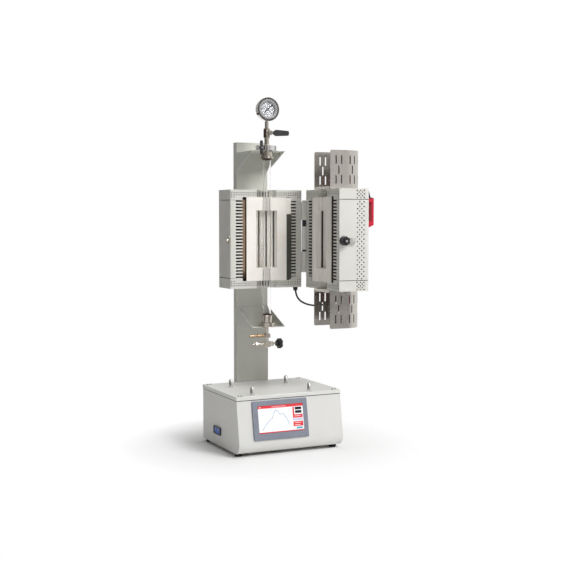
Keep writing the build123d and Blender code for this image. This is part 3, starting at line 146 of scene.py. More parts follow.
class Graph:
    """A node tree, and the calls that add nodes to it."""

    def __init__(self, tree: bpy.types.NodeTree) -> None:
        """Empties a node tree and takes it over."""
        self.tree = tree
        self.tree.nodes.clear()

    def node(
        self,
        kind: str,
        settings: dict[str, Any] | None = None,
        values: dict[str | int, Any] | None = None,
        result: str | int = 0,
    ) -> Field:
        """Adds any node.

        Args:
            kind: The node's type.
            settings: Its own properties, set first. A ramp's stops are under "stops".
            values: What its input sockets hold or are linked to.
            result: The output that is wanted.

        Returns:
            That output.
        """
        made = self.tree.nodes.new(kind)
        for key, value in (settings or {}).items():
            if key == "stops":
                self._set_stops(made.color_ramp, value)
            else:
                setattr(made, key, value)
        for key, value in (values or {}).items():
            if isinstance(value, Field):
                self.tree.links.new(value.socket, made.inputs[key])
            else:
                made.inputs[key].default_value = value
        return Field(self.tree, made.outputs[result])

    @staticmethod
    def _set_stops(ramp: bpy.types.ColorRamp, stops: Sequence[tuple[float, Triple]]) -> None:
        """Gives a ramp its stops.

        Args:
            ramp: The ramp.
            stops: Each stop's position and colour.
        """
        while len(ramp.elements) < len(stops):
            ramp.elements.new(1.0)
        for element, (position, colour) in zip(ramp.elements, stops):
            element.position = position
            element.color = (*colour, 1.0)

    def place(self, stretch: Triple = ALL_ROUND) -> Field:
        """Object coordinates, squeezed or drawn out along each axis."""
        return self.node(
            "ShaderNodeMapping",
            values={"Vector": self.node("ShaderNodeTexCoord", result="Object"), "Scale": stretch},
        )

    def part(self, axis: str) -> Field:
        """One Object coordinate: "X", "Y" or "Z"."""
        spot = self.node("ShaderNodeTexCoord", result="Object")
        return self.node("ShaderNodeSeparateXYZ", values={0: spot}, result=axis)

    def along(self, origin: Vector, direction: Vector) -> Field:
        """Measures along a direction.

        Args:
            origin: Where the measure is zero.
            direction: Which way it grows.

        Returns:
            How far along it a surface point lies, in metres.
        """
        total = self.part("X") * direction.x + self.part("Y") * direction.y
        total = total + self.part("Z") * direction.z
        return total - origin.dot(direction)

    def noise(
        self, scale: float, detail: float = 2.0, stretch: Triple = ALL_ROUND, rough: float = 0.5
    ) -> Field:
        """Adds cloudy noise from zero to one.

        Args:
            scale: How many blobs there are to the metre.
            detail: How many finer layers it has.
            stretch: How it is squeezed along each axis.
            rough: How strong the finer layers are.

        Returns:
            The noise.
        """
        return self.node(
            "ShaderNodeTexNoise",
            {"noise_dimensions": "3D"},
            {"Vector": self.place(stretch), "Scale": scale, "Detail": detail, "Roughness": rough},
            "Fac",
        )

    def mix(self, factor: Field | float, first: Triple | Field, second: Triple | Field) -> Field:
        """Blends two colours.

        Args:
            factor: The share of the second one, from zero to one.
            first: The colour at zero.
            second: The colour at one.

        Returns:
            The colour between them.
        """
        low, high = (end if isinstance(end, Field) else (*end, 1.0) for end in (first, second))
        return self.node("ShaderNodeMix", {"data_type": "RGBA"}, {0: factor, 6: low, 7: high}, 2)

    def seen(self, *kinds: str) -> Field:
        """Tells kinds of rays apart.

        Args:
            kinds: Their names, such as "Is Camera Ray".

        Returns:
            One for rays of those kinds, and zero for the others.
        """
        total = self.node("ShaderNodeLightPath", result=kinds[0])
        for kind in kinds[1:]:
            total = total + self.node("ShaderNodeLightPath", result=kind)
        return total.clamped()


class Recipe(Graph):
    """A material with one Principled shader."""

    def __init__(self, name: str) -> None:
        """Starts an empty recipe of that name."""
        self.material = bpy.data.materials.new(name)
        self.material.use_nodes = True
        super().__init__(self.material.node_tree)
        self.output = self.tree.nodes.new("ShaderNodeOutputMaterial")
        self.shader = self.tree.nodes.new("ShaderNodeBsdfPrincipled")
        self.tree.links.new(self.shader.outputs["BSDF"], self.output.inputs["Surface"])

    def feed(self, **sockets: Any) -> None:
        """Sets or links the shader's sockets.

        Args:
            sockets: The value or link of each, named with underscores for spaces.
        """
        for key, value in sockets.items():
            socket = self.shader.inputs[key.replace("_", " ")]
            if isinstance(value, Field):
                self.tree.links.new(value.socket, socket)
            elif isinstance(value, tuple) and len(value) == 3 and socket.type == "RGBA":
                socket.default_value = (*value, 1.0)
            else:
                socket.default_value = value

    def bump(self, height: Field, depth: float, strength: float = 1.0) -> None:
        """Raises the surface.

        Args:
            height: How high each point is, from zero to one.
            depth: What one stands for, in metres.
            strength: How much of it shows.
        """
        values = {"Height": height, "Distance": depth, "Strength": strength}
        self.feed(Normal=self.node("ShaderNodeBump", values=values))


def shade(colour: Triple, factor: float) -> Triple:
    """A colour made darker or lighter by a factor."""
    return tuple(min(1.0, channel * factor) for channel in colour)


# THE TWO FURNACE HALVES' OWN FRAMES
@dataclass(frozen=True)
class HalfFrame:
    """Where a furnace half stands: across its width, into its depth, and up."""

    origin: Vector
    across: Vector
    body: str

    @property
    def inward(self) -> Vector:
        """The direction from the parting plane into the half."""
        return UP.cross(self.across)

    def matrix(self) -> Matrix:
        """Takes a mesh in the half's own millimetres to the row frame's metres."""
        turn = Matrix((self.across, self.inward, UP)).transposed().to_4x4()
        return Matrix.Translation(self.origin) @ turn @ Matrix.Scale(MM, 4)


# The hinge's upright axis, how far the door stands open, and the furnace's underside.
HINGE = Vector((0.1275, 0.026, 0.0))
DOOR_ANGLE = math.radians(87.0)
FURNACE_BOTTOM = 0.4775
FIXED = HalfFrame(Vector((0.0, 0.026, FURNACE_BOTTOM)), Vector((1.0, 0.0, 0.0)), "stand")
DOOR = HalfFrame(
    HINGE
    + Matrix.Rotation(DOOR_ANGLE, 3, "Z") @ (Vector((0.0, 0.026, 0.0)) - HINGE)
    + UP * FURNACE_BOTTOM,
    Matrix.Rotation(DOOR_ANGLE, 3, "Z") @ Vector((-1.0, 0.0, 0.0)),
    "door",
)


# FINISHES
@dataclass(frozen=True)
class Finish:
    """What every finish has: the name of its material, its paint and its tint."""

    name: str

    def make(self) -> bpy.types.Material:
        """Returns the material."""
        recipe = Recipe(self.name)
        self.paint(recipe)
        return recipe.material

    def paint(self, recipe: Recipe) -> None:
        """Feeds the recipe what this kind of finish is made of: here nothing."""

    def tinted(self, recipe: Recipe, base: Field) -> Field:
        """Returns the colour after what a kind of finish adds to it: here nothing."""
        return base


@dataclass(frozen=True)
class PowderCoat(Finish):
    """Baked powder coat: satin, with a fine orange-peel surface and faint blotches."""

    colour: Triple
    roughness: float = 0.42
    mottle: Pair = (0.955, 1.02)
    speck: Pair = (0.66, 3.0)
    speck_shade: float = 0.90
    peel_scale: float = 900.0
    peel_depth: float = 0.00009

    def paint(self, recipe: Recipe) -> None:
        """Feeds the recipe's shader."""
        blotch = recipe.noise(9.0, 3.0)
        peel = recipe.noise(self.peel_scale, 2.0)
        dark, light = (shade(self.colour, factor) for factor in self.mottle)
        level, slope = self.speck
        specks = ((recipe.noise(2600.0, 1.0) - level) * slope).clamped()
        dot = shade(self.colour, self.speck_shade)
        base = recipe.mix(specks, recipe.mix(blotch, dark, light), dot)
        recipe.feed(
            Base_Color=self.tinted(recipe, base),
            Roughness=blotch * 0.10 + peel * 0.12 + (self.roughness - 0.11),
            IOR=1.48,
        )
        recipe.bump(peel, self.peel_depth, 0.55)


@dataclass(frozen=True)
class InsideShadedCoat(PowderCoat):
    """Powder coat on a furnace shell, whose inner faces carry painted shade almost black."""

    half: HalfFrame = FIXED
    # Painted shade: the faces inside the shell are coloured almost black, for the shade within it.
    painted_inside_shade: Triple = (0.030, 0.027, 0.024)
    half_width: float = 0.1195
    depth: float = 0.102
    corner: float = 0.010
    sheet: float = 0.0012
    height: float = 0.300
    seams: Pair = (0.0316, 0.2684)
    seam_reach: float = 0.0010
    # Painted shade: a dark line along each seam between end cap and casing, for the shadow in the
    # gap.
    painted_seam_shade: Triple = (0.10, 0.095, 0.085)

    def tinted(self, recipe: Recipe, base: Field) -> Field:
        """Returns the colour, with painted shade wherever a face lies inside the shell's outline
        and along its seams.
        """
        across = recipe.along(self.half.origin, self.half.across).magnitude()
        inward = recipe.along(self.half.origin, self.half.inward)
        up = recipe.along(self.half.origin, UP)
        side = (across - (self.half_width - self.corner)).at_least(0.0)
        back = (inward - (self.depth - self.corner)).at_least(0.0)
        reach = (side * side + back * back).root()
        inside = reach < self.corner - self.sheet / 2
        inside = inside * (up > self.sheet) * (up < self.height - self.sheet)
        for seam in self.seams:
            near = (up - seam).magnitude() < self.seam_reach
            base = recipe.mix(near, base, self.painted_seam_shade)
        return recipe.mix(inside, base, self.painted_inside_shade)


@dataclass(frozen=True)
class SeamedCoat(PowderCoat):
    """Powder coat on the base's pan, with a painted shade line just under the lid."""

    seam: float = 0.1626
    # Painted shade: a dark band under the lid's skirt, for the shadow in the gap there.
    painted_gap_shade: Triple = (0.035, 0.035, 0.033)

    def tinted(self, recipe: Recipe, base: Field) -> Field:
        """Returns the colour, with painted shade above the seam's height."""
        return recipe.mix(recipe.part("Z") > self.seam, base, self.painted_gap_shade)


@dataclass(frozen=True)
class Metal(Finish):
    """Bare metal, brushed along one axis or polished all over."""

    colour: Triple = (0.62, 0.61, 0.60)
    roughness: float = 0.22
    grain: Triple = (1.0, 1.0, 0.04)
    grain_depth: float = 0.00002
    tarnish: Triple = (0.42, 0.38, 0.34)
    tarnish_share: float = 0.18
    grain_scale: float = 2200.0
    smear_scale: float = 38.0

    def paint(self, recipe: Recipe) -> None:
        """Feeds the recipe's shader."""
        lines = recipe.noise(self.grain_scale, 2.0, self.grain)
        smear = recipe.noise(self.smear_scale, 4.0)
        dull = (smear - 0.45).clamped() * (2.0 * self.tarnish_share)
        recipe.feed(
            Base_Color=self.tinted(recipe, recipe.mix(dull, self.colour, self.tarnish)),
            Metallic=1.0,
            Roughness=lines * 0.12 + smear * 0.10 + (self.roughness - 0.10),
        )
        recipe.bump(lines, self.grain_depth, 0.4)


@dataclass(frozen=True)
class BrassArmed(Metal):
    """Turned steel of the outlet tee, whose upper arm is brass."""

    arm: float = -0.0095
    low: float = 0.318
    brass: Triple = (0.46, 0.31, 0.19)

    def tinted(self, recipe: Recipe, base: Field) -> Field:
        """Returns the colour, brass out along the upper arm."""
        upper_arm = (recipe.part("X") < self.arm) * (recipe.part("Z") > self.low)
        return recipe.mix(upper_arm, base, self.brass)


@dataclass(frozen=True)
class GuardSteel(Metal):
    """Brushed steel of the door's tube guards, with painted shade inside their rounded back."""

    # Painted shade: the inner side of the guards' rounded back is coloured dark.
    painted_shade: Triple = (0.115, 0.100, 0.088)
    straight: float = 0.058
    radius: float = 0.0569

    def tinted(self, recipe: Recipe, base: Field) -> Field:
        """Returns the colour, with painted shade on the inner side of the half-round."""
        across = recipe.along(DOOR.origin, DOOR.across)
        past = recipe.along(DOOR.origin, DOOR.inward) - self.straight
        inside = ((across * across + past * past).root() < self.radius) * (past > 0.0)
        return recipe.mix(inside, base, self.painted_shade)


@dataclass(frozen=True)
class Moulded(Finish):
    """Moulded plastic or rubber, with a fine grain."""

    colour: Triple
    roughness: float = 0.45
    grain: float = 1400.0
    coat: float = 0.0
    wear: Pair = (0.85, 1.2)
    wear_scale: float = 60.0
    grain_depth: float = 0.00006

    def paint(self, recipe: Recipe) -> None:
        """Feeds the recipe's shader."""
        grain = recipe.noise(self.grain, 2.0)
        wear = recipe.noise(self.wear_scale, 3.0)
        base = recipe.mix(wear, *(shade(self.colour, factor) for factor in self.wear))
        recipe.feed(
            Base_Color=self.tinted(recipe, base),
            Roughness=grain * 0.14 + wear * 0.12 + (self.roughness - 0.13),
            Coat_Weight=self.coat,
            Coat_Roughness=0.12,
        )
        recipe.bump(grain, self.grain_depth, 0.5)


@dataclass(frozen=True)
class GripRed(Moulded):
    """The door handle's red grip, with its black upper foot and painted shade on its inner side."""

    foot: float = 0.7490
    inner: float = 0.107
    depth_of_shade: float = 0.45
    black: Triple = (0.012, 0.012, 0.013)

    def tinted(self, recipe: Recipe, base: Field) -> Field:
        """Returns the colour, black above the foot's height and darkened by painted shade near the
        shell.
        """
        # Painted shade: the grip is darkened near the shell, on its inner side.
        near = recipe.along(DOOR.origin, DOOR.inward) < self.inner
        base = recipe.mix(near * self.depth_of_shade, base, shade(self.colour, 0.35))
        return recipe.mix(recipe.part("Z") > self.foot, base, self.black)


@dataclass(frozen=True)
class Fibre(Finish):
    """Vacuum-formed ceramic fibre: chalky, with short fibres and a little scorching."""

    colour: Triple = (0.955, 0.915, 0.855)
    scorch: Triple = (0.66, 0.55, 0.45)
    scorch_share: float = 0.9
    scorch_level: float = 0.52
    chalk: Pair = (0.93, 1.06)
    strand_scale: float = 700.0
    strand_depth: float = 0.0002

    def paint(self, recipe: Recipe) -> None:
        """Feeds the recipe's shader."""
        strand = recipe.noise(self.strand_scale, 5.0, (1.0, 1.0, 3.0), 0.7)
        pit = recipe.noise(1800.0, 2.0)
        stained = ((recipe.noise(14.0, 4.0) - self.scorch_level) * self.scorch_share).clamped()
        base = recipe.mix(strand, *(shade(self.colour, factor) for factor in self.chalk))
        base = self.tinted(recipe, recipe.mix(stained, base, self.scorch))
        recipe.feed(Base_Color=base, Roughness=strand * 0.1 + 0.85, Specular_IOR_Level=0.2)
        recipe.bump(strand + pit * 0.5, self.strand_depth, 0.6)


@dataclass(frozen=True)
class BlockFibre(Fibre):
    """A half's insulation block, with painted shade on its outer sides behind the combs."""

    half: HalfFrame = FIXED
    side: float = 0.0667
    front: float = 0.0035
    # Painted shade: the block's sides behind the face sheet are coloured dark.
    painted_shade: Triple = (0.085, 0.068, 0.055)

    def tinted(self, recipe: Recipe, base: Field) -> Field:
        """Returns the colour, with painted shade on the sides behind the face sheet."""
        across = recipe.along(self.half.origin, self.half.across).magnitude()
        inward = recipe.along(self.half.origin, self.half.inward)
        return recipe.mix((across > self.side) * (inward > self.front), base, self.painted_shade)


@dataclass(frozen=True)
class Clear(Finish):
    """Clear glass or quartz, with a faint unevenness of the surface."""

    colour: Triple = WHITE
    ior: float = 1.46

    def paint(self, recipe: Recipe) -> None:
        """Feeds the recipe's shader."""
        film = recipe.noise(30.0, 3.0, (1.0, 1.0, 0.2))
        haze = film * 0.04
        recipe.feed(
            Base_Color=self.colour, Transmission_Weight=1.0, IOR=self.ior, Roughness=haze
        )


@dataclass(frozen=True)
class Lit(Finish):
    """A backlit patch of a display."""

    colour: Triple
    glow: float = 0.75
    cells: Pair = (0.30, 0.36)

    def paint(self, recipe: Recipe) -> None:
        """Feeds the recipe's shader."""
        cells = recipe.noise(3000.0, 1.0)
        recipe.feed(
            Base_Color=recipe.mix(cells, *(shade(self.colour, factor) for factor in self.cells)),
            Roughness=cells * 0.1 + 0.18,
            Emission_Color=self.colour,
            Emission_Strength=self.glow,
        )


WARM_WHITE: Triple = (0.71, 0.70, 0.655)
SHELL = PowderCoat("shell_coat", WARM_WHITE)
FIXED_SHELL = InsideShadedCoat("fixed_shell_coat", WARM_WHITE)
DOOR_SHELL = InsideShadedCoat("door_shell_coat", WARM_WHITE, half=DOOR)
CASE = SeamedCoat("case_coat", (0.76, 0.755, 0.73))
LID = PowderCoat("lid_coat", (0.78, 0.775, 0.745))
MAST = PowderCoat("mast_coat", (0.64, 0.64, 0.585))
BRACKET = PowderCoat("bracket_coat", (0.66, 0.66, 0.61))
FACE = PowderCoat("face_coat", (0.69, 0.68, 0.63))
GUARD = GuardSteel("guard_steel", (0.56, 0.53, 0.49), 0.27)
CHROME = Metal(
    "chrome_plate", (0.68, 0.67, 0.66), 0.12, ALL_ROUND, 0.000004, (0.5, 0.5, 0.5), 0.1
)
STEEL = Metal("turned_steel", (0.56, 0.52, 0.46), 0.18, (0.04, 0.04, 1.0))
TEE = BrassArmed("tee_steel", (0.56, 0.52, 0.46), 0.18, (0.04, 1.0, 1.0))
ZINC = Metal("zinc_plate", (0.58, 0.58, 0.56), 0.30)
ELEMENT = Metal("element_wire", (0.10, 0.085, 0.075), 0.55, ALL_ROUND, 0.00003)
IRON = Moulded("winding_tape", (0.42, 0.30, 0.08), 0.5)
ALUMINIUM = Metal("fin_aluminium", (0.70, 0.70, 0.71), 0.35)
FIBRE = Fibre("fibre_board")
FIXED_BLOCK = BlockFibre("fixed_block")
DOOR_BLOCK = BlockFibre("door_block", half=DOOR)
QUARTZ = Clear("quartz_glass", ior=1.24)
GAUGE_WINDOW = Clear("gauge_window", ior=1.2)
BLACK = Moulded("black_moulding", (0.012, 0.012, 0.013), 0.38)
RUBBER = Moulded("foot_rubber", (0.010, 0.010, 0.010), 0.75, 900.0)
SEAL = Moulded("seal_rubber", (0.045, 0.020, 0.012), 0.55)
BEZEL = Moulded("bezel_moulding", (0.235, 0.255, 0.31), 0.42)
BLUE = Moulded("blue_moulding", (0.008, 0.13, 0.62), 0.35, 1400.0, 0.1)
RED = GripRed("handle_red", (0.54, 0.004, 0.030), 0.40, 1200.0, 0.1)
LEAD = Moulded("lead_sleeve", (0.55, 0.03, 0.03), 0.55)
CABLE = Moulded("cable_sheath", (0.012, 0.012, 0.012), 0.42)
SWITCH = Moulded("switch_red", (0.42, 0.01, 0.01), 0.28, 1400.0, 0.4)
DIAL = Moulded("dial_white", (0.62, 0.63, 0.66), 0.5)
SATIN = Metal("satin_ring", (0.36, 0.36, 0.37), 0.30)
INK = Moulded("dial_ink", (0.012, 0.012, 0.012), 0.5)
# Painted shade: the left wad's wool is coloured deep brown with near-black patches, for the shade
# beside the block.
SHADED_WOOL = Fibre("shaded_wool", (0.30, 0.21, 0.14), (0.012, 0.010, 0.008), 9.0)
DARK_FELT = Fibre("dark_felt", (0.085, 0.088, 0.072), (0.03, 0.03, 0.028), 2.0)
SOCKET_TONGUE = Moulded("socket_tongue", (0.62, 0.70, 0.78), 0.4)

# Which finish each carried-over node has.
NODE_FINISH: tuple[tuple[Finish, str], ...] = (
    (CASE, "base_case rear_panel"), (LID, "base_lid"),
    (BLACK, "lid_screws screen_glass usb_frame power_inlet hinge_rings latch_knob"),
    (BLACK, "rear_gland door_gland wing_nut lever_sleeve star_knob"), (RUBBER, "rubber_feet"),
    (CHROME, "lid_posts latch_base latch_hook flange_clamp gauge_case"), (BEZEL, "screen_bezel"),
    (BLUE, "usb_core"), (SWITCH, "switch_rocker"), (IRON, "transformer"),
    (ALUMINIUM, "power_controller"), (MAST, "mast"), (BRACKET, "top_bracket bottom_bracket"),
    (ZINC, "mast_bolts hinge_pin"), (FIXED_SHELL, "rear_casing rear_end_caps"),
    (FACE, "rear_face door_face"), (ELEMENT, "rear_heaters door_heaters"),
    (FIXED_BLOCK, "rear_insulation"), (FIBRE, "thermocouple door_end_plugs"),
    (SHELL, "rear_hinge_leaves door_hinge_leaf"),
    (STEEL, "latch_catch lower_flange upper_flange shutoff_valve valve_lever"),
    (STEEL, "needle_valve"), (DOOR_SHELL, "door_casing door_end_caps"),
    (DOOR_BLOCK, "door_insulation"), (RED, "door_handle"), (GUARD, "tube_guards"),
    (LEAD, "heater_leads"), (CABLE, "door_cable"), (QUARTZ, "quartz_tube"), (SEAL, "seal_rings"),
    (DIAL, "gauge_dial"), (INK, "gauge_needle"), (GAUGE_WINDOW, "gauge_glass"),
    (TEE, "outlet_tee"),
)


def placed(name: str, data: Any) -> bpy.types.Object:
    """Returns a new object in the scene that holds a mesh, curve, lamp or camera."""
    made = bpy.data.objects.new(name, data)
    bpy.context.scene.collection.objects.link(made)
    return made


def solid(name: str, shape: Shape) -> bpy.types.Object:
    """Returns a new object in the scene with a bmesh's shape, and frees the bmesh."""
    data = bpy.data.meshes.new(name)
    shape.to_mesh(data)
    shape.free()
    return placed(name, data)


def mesh_of(item: bpy.types.Object) -> bpy.types.Mesh:
    """Returns an object's finished shape as a new mesh."""
    bpy.context.view_layer.update()
    graph = bpy.context.evaluated_depsgraph_get()
    return bpy.data.meshes.new_from_object(item.evaluated_get(graph))


class Workshop:
    """Keeps one material for each finish, and turns meshes into pieces of the object."""

    weld: float = 0.00001
    flat: float = 0.999
    crease: float = math.radians(30.0)

    def __init__(self) -> None:
        """Starts with no material made."""
        self.made: dict[str, bpy.types.Material] = {}

    def material(self, finish: Finish) -> bpy.types.Material:
        """Returns a finish's material, made on its first use."""
        if finish.name not in self.made:
            self.made[finish.name] = finish.make()
        return self.made[finish.name]

    def dress_node(self, name: str, finish: Finish) -> None:
        """Gives a carried-over node its finish."""
        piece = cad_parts[name]
        piece.data.materials.clear()
        piece.data.materials.append(self.material(finish))

    def pierced(
        self, name: str, node: str, cutter: Shape, finish: Finish, half: HalfFrame, slot: str
    ) -> None:
        """Makes a carried-over node again with holes through it.

        Args:
            name: The new piece's name.
            node: The node that it stands for.
            cutter: The shape of what is cut away, in metres in the row frame. It is freed.
            finish: Its finish.
            half: The half whose directions its flat faces follow, and whose body it rides on.
            slot: A material slot's name, passed on to piece.
        """
        whole = bmesh.new()
        whole.from_mesh(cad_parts[node].data)
        bmesh.ops.remove_doubles(whole, verts=whole.verts[:], dist=self.weld)
        blank, tool = solid("blank", whole), solid("cutter", cutter)
        cut = blank.modifiers.new("cut", "BOOLEAN")
        cut.operation = "DIFFERENCE"
        cut.solver = "EXACT"
        cut.object = tool
        shape = bmesh.new()
        shape.from_mesh(mesh_of(blank))
        for holder in (blank, tool):
            bpy.data.objects.remove(holder)
        axes = (half.across, half.inward, UP)
        made = self.piece(name, shape, [finish], half.body, slot, smooth=False)
        for face in made.data.polygons:
            face.material_index = 0
            face.use_smooth = max(abs(face.normal.dot(axis)) for axis in axes) < self.flat
        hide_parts(node)

    def piece(
        self, name: str, mesh: Shape, finishes: Sequence[Finish], body: str, slot: str,
        smooth: bool = True,
    ) -> bpy.types.Object:
        """Turns a bmesh into a piece that rides on a body.

        Args:
            name: The piece's name.
            mesh: Its shape, in metres in the row frame. It is freed.
            finishes: One finish for each material index in use.
            body: The body it rides on.
            slot: A material slot's name; not used.
            smooth: Whether its faces are shaded smooth below 30 degrees.

        Returns:
            The new object.
        """
        if smooth:
            for edge in mesh.edges:
                edge.smooth = edge.calc_face_angle(0.0) < self.crease
            for face in mesh.faces:
                face.smooth = True
        made = solid(name, mesh)
        for finish in finishes:
            made.data.materials.append(self.material(finish))
        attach(made, body)
        LOG.info("piece %s: %d faces, on %s", name, len(made.data.polygons), body)
        return made


# STUDIO
@dataclass(frozen=True)
class Studio:
    """The camera, the lamps and the pale floor."""

    camera_place: Triple = (-1.33746, -2.90257, 0.68833)
    camera_yaw: float = 25.29
    camera_pitch: float = 3.34
    focal_pixels: float = 1051.64
    picture_pixels: int = 561
    sensor: float = 36.0
    ambient: float = 0.38
    room_stops: tuple = ((0.0, (0.20, 0.19, 0.18)), (0.45, (0.55, 0.55, 0.54)), (1.0, WHITE))
    floor_half_side: float = 6.0
    fade_start: float = 0.24
    fade_slope: float = 4.5
    flag_colour: Triple = (0.060, 0.045, 0.036)
    # Each dark card's name, the place of its middle, and its width and height.
    flags: tuple = (
        ("camera_flag", (-1.45, -3.6, 1.0), (0.8, 2.6)),
        ("gauge_flag", (1.35, -3.0, 1.42), (0.7, 0.5)),
        ("low_right_flag", (1.3, -2.6, 0.23), (2.6, 0.46)),
        ("low_left_flag", (-2.8, -0.3, 0.23), (3.0, 0.46)),
        ("low_rear_flag", (-1.3, 2.7, 0.25), (2.6, 0.50)),
        ("left_flag", (-2.9, 0.5, 1.1), (1.0, 1.4)),
    )
    # Each lamp's name, place, target, side in metres and power in watts.
    lamps: tuple = (
        ("key_lamp", (1.1, -2.5, 2.75), (0.0, -0.05, 0.5), 1.3, 84.0),
        ("top_lamp", (0.2, 0.1, 2.9), (0.0, 0.0, 0.4), 1.5, 26.0),
        ("front_lamp", (-1.2, -2.9, 2.2), (0.0, 0.0, 0.5), 1.5, 5.0),
    )

    def build(self) -> None:
        """Makes everything that isn't part of the object."""
        self._camera()
        self._world()
        self._floor()
        for name, place, size in self.flags:
            self._flag(name, place, size)
        for name, place, target, size, power in self.lamps:
            self._lamp(name, place, target, size, power)

    def _camera(self) -> None:
        """Sets up the camera at the viewing angle."""
        data = bpy.data.cameras.new("camera")
        data.sensor_width = self.sensor
        data.lens = self.focal_pixels / self.picture_pixels * self.sensor
        camera = placed("camera", data)
        camera.location = self.camera_place
        pitch, yaw = math.radians(90.0 - self.camera_pitch), -math.radians(self.camera_yaw)
        camera.rotation_euler = (pitch, 0.0, yaw)
        bpy.context.scene.camera = camera

    def _world(self) -> None:
        """A white surround for the camera, and a dimmer one, darker on the left, as a lamp."""
        world = bpy.data.worlds.new("studio")
        world.use_nodes = True
        graph = Graph(world.node_tree)
        toward = graph.node("ShaderNodeTexCoord", result="Generated")
        side = graph.node("ShaderNodeSeparateXYZ", values={0: toward}, result="X")
        room = graph.node(
            "ShaderNodeValToRGB", {"stops": self.room_stops}, {"Fac": side * 0.5 + 0.5}, "Color"
        )
        backdrop = graph.seen("Is Camera Ray", "Is Transmission Ray")
        bright = graph.seen("Is Camera Ray", "Is Transmission Ray", "Is Glossy Ray")
        background = graph.node(
            "ShaderNodeBackground",
            values={
                "Color": graph.mix(backdrop, room, WHITE),
                "Strength": bright * (1.0 - self.ambient) + self.ambient,
            },
        )
        output = graph.tree.nodes.new("ShaderNodeOutputWorld")
        graph.tree.links.new(background.socket, output.inputs["Surface"])
        bpy.context.scene.world = world
        bpy.context.scene.view_settings.view_transform = "Standard"

    def _floor(self) -> None:
        """A pale floor that keeps the shadow near the object and fades to white."""
        shape = bmesh.new()
        bmesh.ops.create_grid(shape, x_segments=1, y_segments=1, size=self.floor_half_side)
        floor = solid("floor", shape)
        recipe = Recipe("floor_paper")
        across, along = recipe.part("X"), recipe.part("Y")
        away = (across * across + along * along).root()
        fade = ((away - self.fade_start) * self.fade_slope).clamped()
        backdrop = recipe.seen("Is Camera Ray", "Is Transmission Ray", "Is Glossy Ray")
        paper = Field(recipe.tree, recipe.shader.outputs[0])
        glow = recipe.node("ShaderNodeEmission")
        blend = recipe.node("ShaderNodeMixShader", values={0: fade * backdrop, 1: paper, 2: glow})
        recipe.tree.links.new(blend.socket, recipe.output.inputs["Surface"])
        recipe.feed(Base_Color=(0.95, 0.95, 0.95), Roughness=0.8, Specular_IOR_Level=0.1)
        floor.data.materials.append(recipe.material)

    def _flag(self, name: str, place: Triple, size: Pair) -> None:
        """Stands a dark card out in the room, which only polished metal and glass show.

        Args:
            name: The card's name.
            place: Where its middle stands. It faces the object's upright axis.
            size: Its width and height.
        """
        shape = bmesh.new()
        bmesh.ops.create_grid(shape, x_segments=1, y_segments=1, size=0.5)
        inward = Vector((0.0, 0.0, place[2])) - Vector(place)
        toward = inward.to_track_quat("Z", "Y").to_matrix().to_4x4()
        shape.transform(Matrix.Translation(place) @ toward @ Matrix.Diagonal((*size, 1.0, 1.0)))
        card = solid(name, shape)
        recipe = Recipe(name + "_felt")
        recipe.feed(Base_Color=self.flag_colour, Roughness=1.0, Specular_IOR_Level=0.0)
        card.data.materials.append(recipe.material)
        card.visible_camera = False
        card.visible_diffuse = False
        card.visible_shadow = False
        card.visible_transmission = False

    @staticmethod
    def _lamp(name: str, place: Triple, target: Triple, size: float, power: float) -> None:
        """Adds a soft square lamp.

        Args:
            name: The lamp's name.
            place: Where it hangs.
            target: What it points at.
            size: The length of its side.
            power: Its watts.
        """
        data = bpy.data.lights.new(name, "AREA")
        data.size = size
        data.energy = power
        lamp = placed(name, data)
        lamp.location = place
        toward = Vector(target) - Vector(place)
        lamp.rotation_euler = toward.to_track_quat("-Z", "Y").to_euler()


# THE CABLE BETWEEN THE HALVES
@dataclass
class DoorCable:
    """The heater cable that loops below the hinge from the fixed half to the door."""

    shop: Workshop
    diameter: float = 0.0056
    length: float = 0.20
    steps: int = 16
    roundness: int = 6
    start: Vector = field(default_factory=lambda: Vector((0.108, 0.048, FURNACE_BOTTOM)))

    def route(self) -> list[Vector]:
        """The points that steer the cable, in the row frame."""
        end = HINGE + Matrix.Rotation(DOOR_ANGLE, 3, "Z") @ (Vector((0.080, -0.058, 0.0)) - HINGE)
        return [
            self.start,
            Vector((0.108, 0.048, 0.444)),
            Vector((0.138, 0.030, 0.420)),
            Vector((end.x - 0.028, end.y + 0.030, 0.418)),
            Vector((end.x, end.y, 0.440)),
            Vector((end.x, end.y, FURNACE_BOTTOM)),
        ]

    def build(self) -> None:
        """Makes the cable as a smooth tube in place of its plain one."""
        points = self.route()
        curve = bpy.data.curves.new("door_lead_line", "CURVE")
        curve.dimensions = "3D"
        curve.resolution_u = self.steps
        spline = curve.splines.new("NURBS")
        spline.points.add(len(points) - 1)
        for spot, point in zip(spline.points, points):
            spot.co = (*point, 1.0)
        spline.order_u = 3
        spline.use_endpoint_u = True
        line = placed("door_lead_line", curve)
        path = [vertex.co.copy() for vertex in mesh_of(line).vertices]
        curve.bevel_depth = self.diameter / 2
        curve.bevel_resolution = self.roundness
        curve.use_fill_caps = True
        tube = mesh_of(line)
        bpy.data.objects.remove(line)
        tube.materials.clear()
        tube.materials.append(self.shop.material(CABLE))
        cable = placed("door_lead", tube)
        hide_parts("door_cable")
        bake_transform(cable)
        length = sum((after - before).length for before, after in zip(path, path[1:]))
        LOG.info("door cable: %.4f m along its middle", length)


